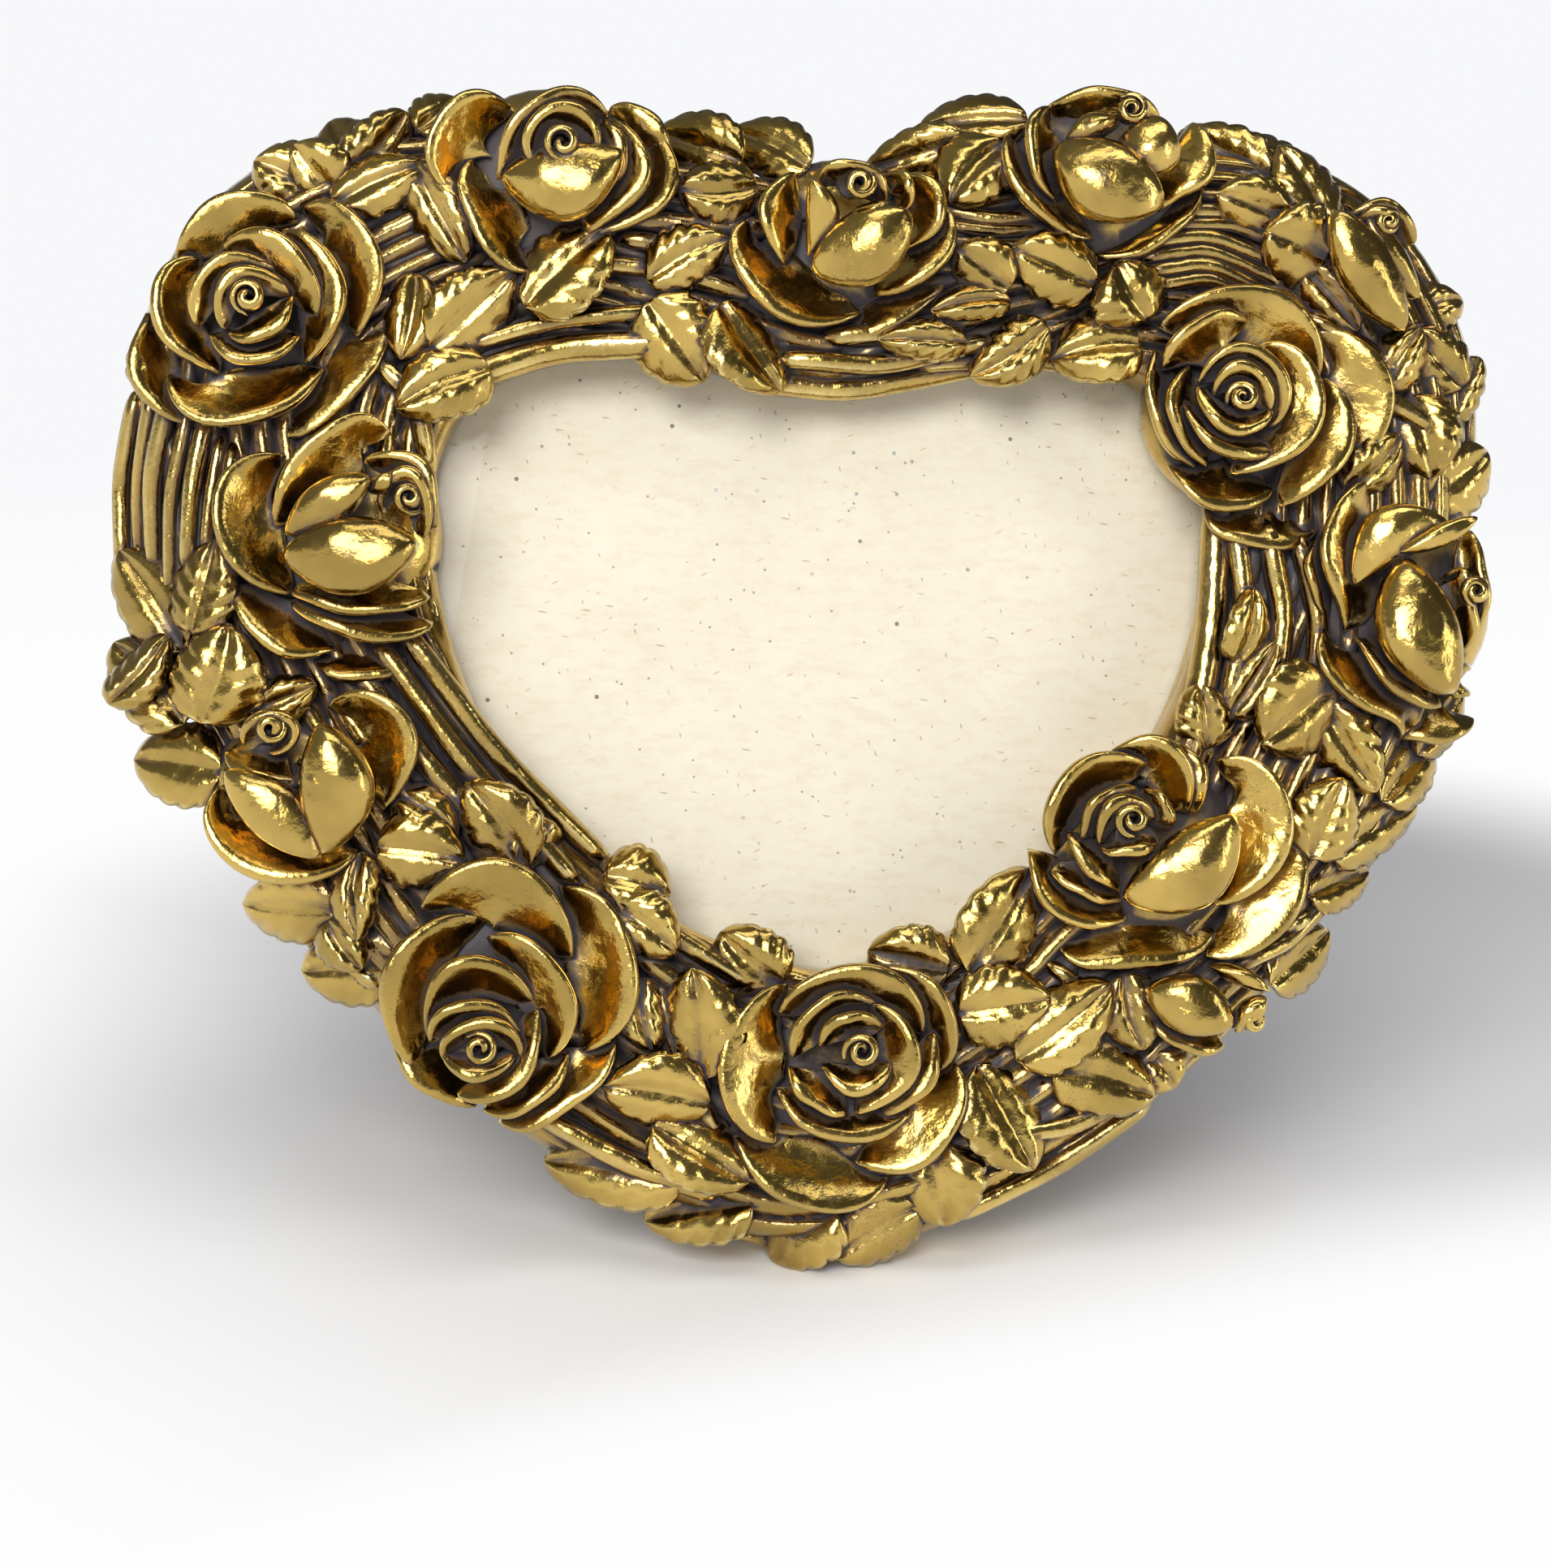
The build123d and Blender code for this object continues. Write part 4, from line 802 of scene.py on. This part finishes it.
def hollows(pieces, rays):
    """Writes on every point how deep it lies (0 open, 1 deep) and how sharp its edge is."""
    points, faces, start = [], [], 0
    for piece in pieces:
        points.append(read(piece))
        faces.extend([tuple(start + i for i in p.vertices) for p in piece.data.polygons])
        start += len(points[-1])
    tree = BVHTree.FromPolygons(np.concatenate(points).tolist(), faces)
    for piece, co in zip(pieces, points):
        normal = read(piece, "normal")
        helper = np.where(np.abs(normal[:, :1]) < 0.8, (1.0, 0, 0), (0, 1.0, 0))
        side = unit(np.cross(normal, helper))
        other = np.cross(normal, side)
        begin = (co + normal * LIFT_OFF).tolist()
        deep = np.zeros(len(co))
        for x, y, z in looks(rays):
            ways = (side * x + other * y + normal * z).tolist()
            for index, (a, way) in enumerate(zip(begin, ways)):
                distance = tree.ray_cast(a, way, LOOK_FAR)[3]
                if distance is not None:
                    deep[index] += 1 - distance / LOOK_FAR
        mark(piece, "hollow", deep / rays)
        ends = np.empty(len(piece.data.edges) * 2, int)
        piece.data.edges.foreach_get("vertices", ends)
        a, b = ends.reshape(-1, 2).T
        step = unit(co[b] - co[a])
        sharp = np.zeros(len(co))
        np.add.at(sharp, a, -(normal[a] * step).sum(1))
        np.add.at(sharp, b, (normal[b] * step).sum(1))
        mark(piece, "edge", sharp / np.maximum(np.bincount(ends, minlength=len(co)), 1))


hollows(pieces, rays=11)


# Materials

class Value:
    """A number in a material; sums on it add Math nodes."""

    def __init__(self, finish, socket):
        self.finish = finish
        self.socket = socket

    def maths(self, operation, *others, clamp=False):
        return self.finish.maths(operation, self, *others, clamp=clamp)

    def __add__(self, other):
        return self.maths("ADD", other)

    def __sub__(self, other):
        return self.maths("SUBTRACT", other)

    def __rsub__(self, other):
        return self.finish.maths("SUBTRACT", other, self)

    def __mul__(self, other):
        return self.maths("MULTIPLY", other)

    __radd__ = __add__
    __rmul__ = __mul__

    def clamped(self):
        return self.maths("MULTIPLY", 1.0, clamp=True)

    def between(self, low, high, start=0.0, end=1.0):
        """The value, spread from low..high to start..end and held there."""
        return self.finish.add("ShaderNodeMapRange", {"clamp": True, "interpolation_type": "SMOOTHSTEP"},
                               {0: self, 1: low, 2: high, 3: start, 4: end})


class Finish:
    """A material, or the room round the frame, and the nodes added to it."""

    def __init__(self, block, place="Object"):
        self.block = block
        block.use_nodes = True
        self.tree = block.node_tree
        self.tree.nodes.clear()
        self.here = self.add("ShaderNodeTexCoord", out=place)

    def node(self, kind, settings=None, inputs=None):
        """A new node: its settings come first, then its sockets' numbers, colours or links."""
        node = self.tree.nodes.new(kind)
        for key, value in (settings or {}).items():
            setattr(node, key, value)
        for key, value in (inputs or {}).items():
            socket = node.inputs[key]
            if isinstance(value, Value):
                self.tree.links.new(value.socket, socket)
            elif isinstance(value, tuple) and len(value) == 3 and len(socket.default_value) == 4:
                socket.default_value = (*value, 1)
            else:
                socket.default_value = value
        return node

    def add(self, kind, settings=None, inputs=None, out=0):
        return Value(self, self.node(kind, settings, inputs).outputs[out])

    def maths(self, operation, *values, clamp=False):
        settings = {"operation": operation, "use_clamp": clamp}
        return self.add("ShaderNodeMath", settings, dict(enumerate(values)))

    def vector_maths(self, operation, *values, out="Value"):
        return self.add("ShaderNodeVectorMath", {"operation": operation}, dict(enumerate(values)), out)

    def noise(self, scale, detail=3.0, rough=0.5, at=None):
        inputs = {"Vector": at or self.here, "Scale": scale, "Detail": detail, "Roughness": rough}
        return self.add("ShaderNodeTexNoise", {}, inputs)

    def mark(self, name):
        """A number that mark() wrote on the points."""
        settings = {"attribute_name": name, "attribute_type": "GEOMETRY"}
        return self.add("ShaderNodeAttribute", settings, out="Fac")

    def mix(self, share, first, second):
        return self.add("ShaderNodeMix", {"data_type": "RGBA"}, {0: share, 6: first, 7: second}, out=2)

    def stretched(self, scale, turn=(0, 0, 0)):
        """Places for a pattern that is finer along some ways than along others."""
        return self.add("ShaderNodeMapping", {"vector_type": "TEXTURE"}, {
            "Vector": self.here, "Scale": tuple(1 / s for s in scale), "Rotation": turn})

    def flecks(self, at, scale, near, far):
        """Scattered spots, 1 on a spot and 0 off it."""
        spots = self.add("ShaderNodeTexVoronoi", {"feature": "F1"},
                         {"Vector": at, "Scale": scale, "Randomness": 1.0})
        return spots.between(near, far, 1.0, 0.0)

    def bands(self, way, scale, waver):
        """Even bands across a cloth."""
        return self.add("ShaderNodeTexWave", {"wave_type": "BANDS", "bands_direction": way},
                        {"Vector": self.here, "Scale": scale, "Distortion": waver, "Detail": 1.0}, out="Fac")

    def bump(self, height, strength, distance, after=None):
        inputs = {"Height": height, "Strength": strength, "Distance": distance}
        if after:
            inputs["Normal"] = after
        return self.add("ShaderNodeBump", {}, inputs)

    def seen(self):
        """1 for what the camera sees, straight, mirrored or through glass, and 0 for other light."""
        rays = self.node("ShaderNodeLightPath").outputs
        straight, mirrored, through = (
            Value(self, rays[kind]) for kind in ("Is Camera Ray", "Is Glossy Ray", "Is Transmission Ray"))
        return (straight + mirrored + through).clamped()

    def surface(self, **inputs):
        names = {"colour": "Base Color", "metal": "Metallic", "rough": "Roughness", "normal": "Normal",
                 "coat": "Coat Weight", "coat_rough": "Coat Roughness", "sheen": "Sheen Weight"}
        return self.close(self.add("ShaderNodeBsdfPrincipled", {}, {names[k]: v for k, v in inputs.items()}))

    def close(self, shader, output="ShaderNodeOutputMaterial"):
        """Ends the nodes on this shader."""
        self.node(output, {}, {"Surface": shader})
        return self.block


def new_finish(name):
    return Finish(bpy.data.materials.new(name))


def antique_gold():
    """Gold paint: patina and painted shade in the hollows, wear and a painted highlight on the edges."""
    f = new_finish("antique_gold")
    deep_gold, bright_gold = (0.40, 0.268, 0.060), (0.68, 0.468, 0.118)
    # The darker gold on the next line is painted shade for the hollows. The pale one is gold rubbed bare on
    # the edges, and it also paints a highlight there.
    painted_shade_gold, worn_highlight_gold = (0.26, 0.165, 0.068), (0.96, 0.79, 0.36)
    patina_dark, patina_pale = (0.024, 0.018, 0.021), (0.074, 0.060, 0.066)
    speck_brown, mottle_brown = (0.10, 0.07, 0.04), (0.15, 0.105, 0.050)
    hollow, edge, groove = f.mark("hollow"), f.mark("edge"), f.mark("groove")
    blotch = f.noise(60, 4, 0.6)
    grain = f.noise(900, 3, 0.6)
    flecks = f.noise(2600, 2, 0.7)
    tone = f.noise(38, 3, 0.55)
    dirt = (hollow + groove * 0.26 + (blotch - 0.5) * 0.22 + (grain - 0.5) * 0.10
            - edge.maths("MAXIMUM", 0.0) * 0.5)
    patina = dirt.between(0.31, 0.55)
    # Rubbed wear on the sharp edges, which is also a painted highlight: these edges are mixed towards a
    # paler, brighter gold.
    worn_and_highlight = (edge * 2.0 - hollow * 0.6 + (grain - 0.5) * 0.3).between(0.15, 0.6)
    speck = flecks.between(0.60, 0.72) * hollow.between(0.02, 0.2)
    mottle = flecks.between(0.52, 0.66) * blotch.between(0.50, 0.68)
    gold = f.mix(tone.between(0.35, 0.68), deep_gold, bright_gold)
    # Painted shade: the gold is darkened where a point lies deep among the other parts.
    gold = f.mix(hollow.between(0.05, 0.38), gold, painted_shade_gold)
    # The edges: worn, and given a painted highlight.
    gold = f.mix(worn_and_highlight * 0.6, gold, worn_highlight_gold)
    colour = f.mix(patina, gold, f.mix(blotch, patina_dark, patina_pale))
    colour = f.mix(speck * 0.4, colour, speck_brown)
    colour = f.mix(mottle * 0.55, colour, mottle_brown)
    rough = patina * 0.42 + mottle * 0.16 + 0.14 + grain * 0.10 - worn_and_highlight * 0.04
    normal = f.bump(grain, 0.16, 0.0004)
    normal = f.bump(f.noise(240, 3, 0.6), 0.20, 0.0012, normal)
    normal = f.bump(f.noise(105, 2, 0.5), 0.34, 0.0030, normal)
    return f.surface(colour=colour, metal=1.0 - patina * 0.9, rough=rough, normal=normal,
                     coat=0.35 - patina * 0.28, coat_rough=0.16)


def greyboard():
    """Cream board: clouds and felt lines in its pulp, fibres lying three ways, and dark specks."""
    f = new_finish("greyboard")
    cream, pale_cream = (0.85, 0.765, 0.625), (0.885, 0.81, 0.675)
    felt_brown, pulp_white = (0.80, 0.665, 0.52), (0.93, 0.86, 0.74)
    fibres = ((0.15, (0.42, 0.26, 0.14)), (1.3, (0.36, 0.25, 0.17)), (-0.5, (0.62, 0.36, 0.16)))
    cloud = f.noise(30, 5, 0.65)
    pulp = f.noise(1400, 3, 0.7)
    felt = f.noise(1.0, 4, 0.65, f.stretched((170, 400, 420)))
    colour = f.mix(cloud.between(0.3, 0.7), cream, pale_cream)
    colour = f.mix(felt.between(0.44, 0.68) * 0.55, colour, felt_brown)
    colour = f.mix(pulp.between(0.35, 0.75) * 0.30, colour, pulp_white)
    for place, (turn, tint) in enumerate(fibres):
        fibre = f.flecks(f.stretched((85, 480, 480), (0, turn, 0)), 1.0, 0.05, 0.12)
        kept = f.noise(140 + 30 * place, 1, 0.5).between(0.48, 0.55)
        colour = f.mix(fibre * kept * 0.6, colour, tint)
    kept = f.noise(90, 1, 0.5).between(0.50, 0.58)
    colour = f.mix(f.flecks(f.here, 150, 0.05, 0.09) * kept * 0.8, colour, (0.10, 0.065, 0.05))
    kept = f.noise(260, 1, 0.5).between(0.46, 0.54)
    colour = f.mix(f.flecks(f.here, 330, 0.05, 0.13) * kept * 0.75, colour, (0.20, 0.15, 0.12))
    return f.surface(colour=colour, rough=0.86, normal=f.bump(pulp, 0.25, 0.0003))


def flock():
    """Black flock paper."""
    f = new_finish("black_flock")
    nap = f.noise(3200, 2, 0.7)
    cloud = f.noise(60, 4, 0.6)
    colour = f.mix(cloud.between(0.3, 0.75), (0.012, 0.012, 0.013), (0.030, 0.029, 0.031))
    colour = f.mix(nap.between(0.55, 0.8) * 0.5, colour, (0.06, 0.058, 0.06))
    return f.surface(colour=colour, rough=0.95, sheen=0.35, normal=f.bump(nap, 0.5, 0.0003))


def strut_board():
    """Brown board with its layers showing on the cut edges."""
    f = new_finish("strut_board")
    pulp = f.noise(1500, 3, 0.7)
    layers = f.noise(1.0, 3, 0.6, f.stretched((40, 40, 2600), (0.23, 0, 0)))
    colour = f.mix(layers.between(0.3, 0.7), (0.19, 0.145, 0.10), (0.33, 0.26, 0.19))
    colour = f.mix(pulp.between(0.4, 0.8) * 0.4, colour, (0.42, 0.34, 0.26))
    return f.surface(colour=colour, rough=0.88, normal=f.bump(pulp, 0.3, 0.0003))


def metal(name, light, dark, rough, brush=(60, 900, 900)):
    """A sheet metal with rolling lines, small scratches and dull spots."""
    f = new_finish(name)
    lines = f.noise(1.0, 3, 0.6, f.stretched(brush))
    spots = f.noise(420, 3, 0.65)
    colour = f.mix(lines.between(0.3, 0.7), light, dark)
    colour = f.mix(spots.between(0.58, 0.75) * 0.4, colour, tuple(c * 0.55 for c in dark))
    rough = lines * 0.16 + spots * 0.14 + rough
    return f.surface(colour=colour, metal=1.0, rough=rough, normal=f.bump(lines, 0.18, 0.0002))


def ribbon_weave():
    """Black ribbon, ribbed across, with threads along it."""
    f = new_finish("black_ribbon")
    f.here = f.add("ShaderNodeUVMap", {"uv_map": "UVMap"})
    weave = f.bands("Y", 42.0, 0.4) * 0.7 + f.bands("X", 9.0, 0.2) * 0.3
    colour = f.mix(weave.between(0.2, 0.8), (0.010, 0.010, 0.012), (0.040, 0.040, 0.045))
    return f.surface(colour=colour, rough=0.48, sheen=0.3, normal=f.bump(weave, 0.5, 0.0003))


def clear_glass():
    """Window glass, a little smeared, that mirrors only a little of the room."""
    f = new_finish("clear_glass")
    smear = f.noise(22, 4, 0.6)
    flat = f.add("ShaderNodeNewGeometry", out="True Normal")
    gloss = f.add("ShaderNodeBsdfGlossy", {}, {"Color": (1, 1, 1), "Roughness": 0.02, "Normal": flat})
    clear = f.add("ShaderNodeBsdfTransparent", {}, {"Color": (0.985, 0.992, 0.988)})
    share = f.add("ShaderNodeFresnel", {}, {"IOR": 1.2, "Normal": flat}) * (smear * 0.1 + 0.5)
    return f.close(f.add("ShaderNodeMixShader", {}, {0: share, 1: clear, 2: gloss}))


gold = antique_gold()
finishes = {
    "glass_pane": clear_glass(),
    "backing_board": greyboard(),
    "backing_cover": flock(),
    "easel_strut": strut_board(),
    "hinge_board_leaf": metal("hinge_steel", (0.57, 0.57, 0.56), (0.49, 0.49, 0.48), 0.24),
    "hinge_staples": metal("staple_wire", (0.50, 0.50, 0.50), (0.30, 0.30, 0.31), 0.32),
    "turn_button_screws": metal("screw_steel", (0.60, 0.58, 0.54), (0.44, 0.42, 0.38), 0.24, (900, 900, 60)),
    "turn_button_1": metal("button_brass", (0.74, 0.52, 0.19), (0.68, 0.465, 0.16), 0.20, (220, 900, 900)),
}
finishes["strut_cover"] = finishes["backing_cover"]
for name in ("hinge_strut_leaf", "hinge_pin", "strut_rivets"):
    finishes[name] = finishes["hinge_board_leaf"]
for name in ("ribbon_board_staple", "ribbon_strut_staple"):
    finishes[name] = finishes["hinge_staples"]
for number in range(2, 7):
    finishes[f"turn_button_{number}"] = finishes["turn_button_1"]


def dress(piece, material):
    piece.data.materials.clear()
    piece.data.materials.append(material)


for name, material in finishes.items():
    dress(frame["nodes"][name], material)

# The casting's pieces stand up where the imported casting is
for piece in pieces:
    put(piece, stand(read(piece)))
    dress(piece, gold)
    only(piece)
    if piece is pieces[0]:
        bpy.ops.object.shade_smooth_by_angle(angle=math.radians(58))
    else:
        bpy.ops.object.shade_smooth()
    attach(piece, "frame")
    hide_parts("frame_casting")

# The glass: how far it lies outside the opening, the height of its back, and its thickness
GLASS_OUTSET = 6.2
GLASS_BACK = 3.6
GLASS_THICKNESS = 1.7


def make_glass():
    """The pane: a heart of clear glass with its edges ground, just clear of the board."""
    line = heart_line(OPENING, GLASS_OUTSET)
    bpy.ops.mesh.primitive_circle_add(vertices=len(line), radius=1, fill_type="NGON")
    piece, co = take("glass_heart")
    order = step_round(co[:, 1], co[:, 0], len(line))
    put(piece, stand(level(line[order], GLASS_BACK)))
    forward = tuple(OUT * GLASS_THICKNESS * MM)
    edit_all(piece, bpy.ops.mesh.extrude_region_move, TRANSFORM_OT_translate={"value": forward})
    outward(piece)
    apply(piece, "BEVEL", width=0.3 * MM, segments=2, limit_method="ANGLE", angle_limit=math.radians(60))
    return piece


glass = make_glass()
dress(glass, finishes["glass_pane"])
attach(glass, "frame")
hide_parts("glass_pane")

# The stay ribbon: how far below the hinge its run ends on the board and on the strut, the length that each
# staple holds, its clearance from both, and how far the strut stands open
RIBBON_WIDTH = 9.0
RIBBON_THICKNESS = 0.35
BOARD_END = 92.0
STRUT_END = 104.0
RIBBON_TAB = 9.0
RIBBON_CLEARANCE = 0.3
STRUT_OPEN = math.radians(28)


def make_ribbon():
    """The stay: its tab under the board's staple, its taut run, and its tab on the opened strut."""
    hinge_u, hinge_v, hinge_w = HINGE
    middle = RIBBON_CLEARANCE + RIBBON_THICKNESS / 2
    start_v = hinge_v - BOARD_END

    def on_strut(below):
        """The place on the opened strut, up and out, that lies this far below the hinge."""
        return (hinge_v - below * math.cos(STRUT_OPEN) - middle * math.sin(STRUT_OPEN),
                hinge_w - below * math.sin(STRUT_OPEN) + middle * math.cos(STRUT_OPEN))

    line = np.array(((start_v + RIBBON_TAB, -middle), (start_v + 0.6, -middle), (start_v, -middle - 0.05),
                     on_strut(STRUT_END), on_strut(STRUT_END + RIBBON_TAB)))
    bpy.ops.mesh.primitive_grid_add(x_subdivisions=90, y_subdivisions=6, size=2)
    piece, co = take("stay_ribbon_cloth")
    share, q = (co[:, 0] + 1) / 2, co[:, 1]
    lengths = run_of(line)
    v, w = between_knots(share * lengths[-1], lengths, line).T
    bow = 0.1 * (1 - q ** 2) * full_middle(share)
    put(piece, stand(np.column_stack((hinge_u + q * RIBBON_WIDTH / 2, v, w + bow))))
    apply(piece, "SOLIDIFY", thickness=RIBBON_THICKNESS * MM, offset=0)
    outward(piece)
    bpy.ops.object.shade_smooth_by_angle(angle=math.radians(40))
    begin = stand(np.array((hinge_u, start_v, -middle)))
    finish = stand(np.array((hinge_u, *on_strut(STRUT_END))))
    return piece, begin, finish


ribbon_cloth, ribbon_start, ribbon_end = make_ribbon()
dress(ribbon_cloth, ribbon_weave())
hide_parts("stay_ribbon")
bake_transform(ribbon_cloth)

# The floor: the middle of the painted place where the frame's shadow falls, and the two ways, forwards at a
# slant and sideways, along which the paint gives way to plain white
SHADE_MIDDLE = (0.10, 0.12, 0.0)
SLANT = (-0.35, 1.0, 0.0)
SIDEWAYS = (1.0, 0.0, 0.0)


def floor_paint():
    """Pale paint that takes the shadow, and plain white round it."""
    f = new_finish("pale_floor")
    tone = f.noise(6, 2, 0.5)
    paint = f.mix(tone * 0.15, (0.96, 0.96, 0.965), (0.94, 0.94, 0.95))
    from_middle = f.vector_maths("LENGTH", f.vector_maths("SUBTRACT", f.here, SHADE_MIDDLE, out="Vector"))
    in_front = f.vector_maths("DOT_PRODUCT", f.here, SLANT).between(-0.10, -0.04, 1.0, 0.0)
    at_left = f.vector_maths("DOT_PRODUCT", f.here, SIDEWAYS).between(-0.23, -0.10, 1.0, 0.0)
    lit = in_front.maths("MAXIMUM", at_left).maths("MAXIMUM", from_middle.between(0.20, 0.36))
    white = f.mix(from_middle.between(0.5, 1.3), (0.985, 0.985, 0.985), (0.93, 0.935, 0.95))
    shaded = f.add("ShaderNodeBsdfDiffuse", {}, {"Color": paint})
    glow = f.add("ShaderNodeEmission", {}, {"Color": white, "Strength": 1.0})
    return f.close(f.add("ShaderNodeMixShader", {}, {0: lit * f.seen(), 1: shaded, 2: glow}))


bpy.ops.object.select_all(action="DESELECT")
bpy.ops.mesh.primitive_plane_add(size=6, location=(0, 0, 0))
floor = bpy.context.object
floor.name = "floor"
dress(floor, floor_paint())

LAMPS_AIM = (0, 0, 0.12)


def lamp(name, place, size, power, colour=(1, 1, 1)):
    """A flat lamp that shines on the middle of the frame."""
    bpy.ops.object.light_add(type="AREA", location=place)
    light = bpy.context.object
    light.name = name
    light.data.shape = "RECTANGLE"
    light.data.size, light.data.size_y = size
    light.data.energy = power
    light.data.color = colour
    light.rotation_euler = (Vector(LAMPS_AIM) - Vector(place)).to_track_quat("-Z", "Y").to_euler()


lamp("window_left", place=(-0.42, -1.14, 0.82), size=(0.76, 0.60), power=14.2, colour=(1, 0.995, 0.985))
lamp("top_sheet", place=(0.1, -0.35, 1.20), size=(1.1, 0.36), power=3.3)
lamp("fill_right", place=(0.95, -0.7, 0.35), size=(0.15, 0.7), power=1.7, colour=(0.97, 0.98, 1))

# The room: pale at eye level and dim overhead where it is seen, and an even grey for its light
studio = bpy.data.worlds.new("studio")
bpy.context.scene.world = studio
sky = Finish(studio, "Generated")
ways = sky.node("ShaderNodeSeparateXYZ", {}, {0: sky.here}).outputs
to_right, to_top = Value(sky, ways["X"]), Value(sky, ways["Z"])
overhead = sky.mix(to_right.between(-0.8, 0.6), (0.20, 0.20, 0.195), (0.07, 0.07, 0.075))
shown_room = sky.mix(to_top.between(0.08, 0.32), (0.93, 0.935, 0.95), overhead)
room_light = sky.mix(sky.seen(), (0.20, 0.20, 0.21), shown_room)
sky.close(sky.add("ShaderNodeBackground", {}, {"Color": room_light}), "ShaderNodeOutputWorld")

# The camera stands where the picture was taken from. Its lens, counted in points of the picture, its tilt
# and its place from the middle of the face are fitted to the picture.
SENSOR = 36
LENS_POINTS = 3015
PICTURE_POINTS = 1932
PITCH, YAW, ROLL = math.radians(14.5), math.radians(6.6), math.radians(1.65)
CAMERA_FROM_FACE = (-68.74, -513.39, 110.81)
camera_place = stand(np.zeros(3)) + np.array(CAMERA_FROM_FACE) * MM
ahead = Vector((math.sin(YAW) * math.cos(PITCH), math.cos(YAW) * math.cos(PITCH), -math.sin(PITCH)))
right = ahead.cross(Vector((0, 0, 1))).normalized()
down = ahead.cross(right)
right_rolled = math.cos(ROLL) * right - math.sin(ROLL) * down
down_rolled = math.sin(ROLL) * right + math.cos(ROLL) * down
bpy.ops.object.camera_add(location=tuple(camera_place))
camera = bpy.context.object
camera.name = "camera"
camera.data.lens = LENS_POINTS / PICTURE_POINTS * SENSOR
camera.data.sensor_width = SENSOR
camera.data.clip_start = 0.01
turn = Matrix((right_rolled, -down_rolled, -ahead)).transposed()
camera.matrix_world = Matrix.Translation(Vector(camera_place)) @ turn.to_4x4()
bpy.context.scene.camera = camera
bpy.context.scene.view_settings.view_transform = "Standard"

bpy.context.view_layer.update()
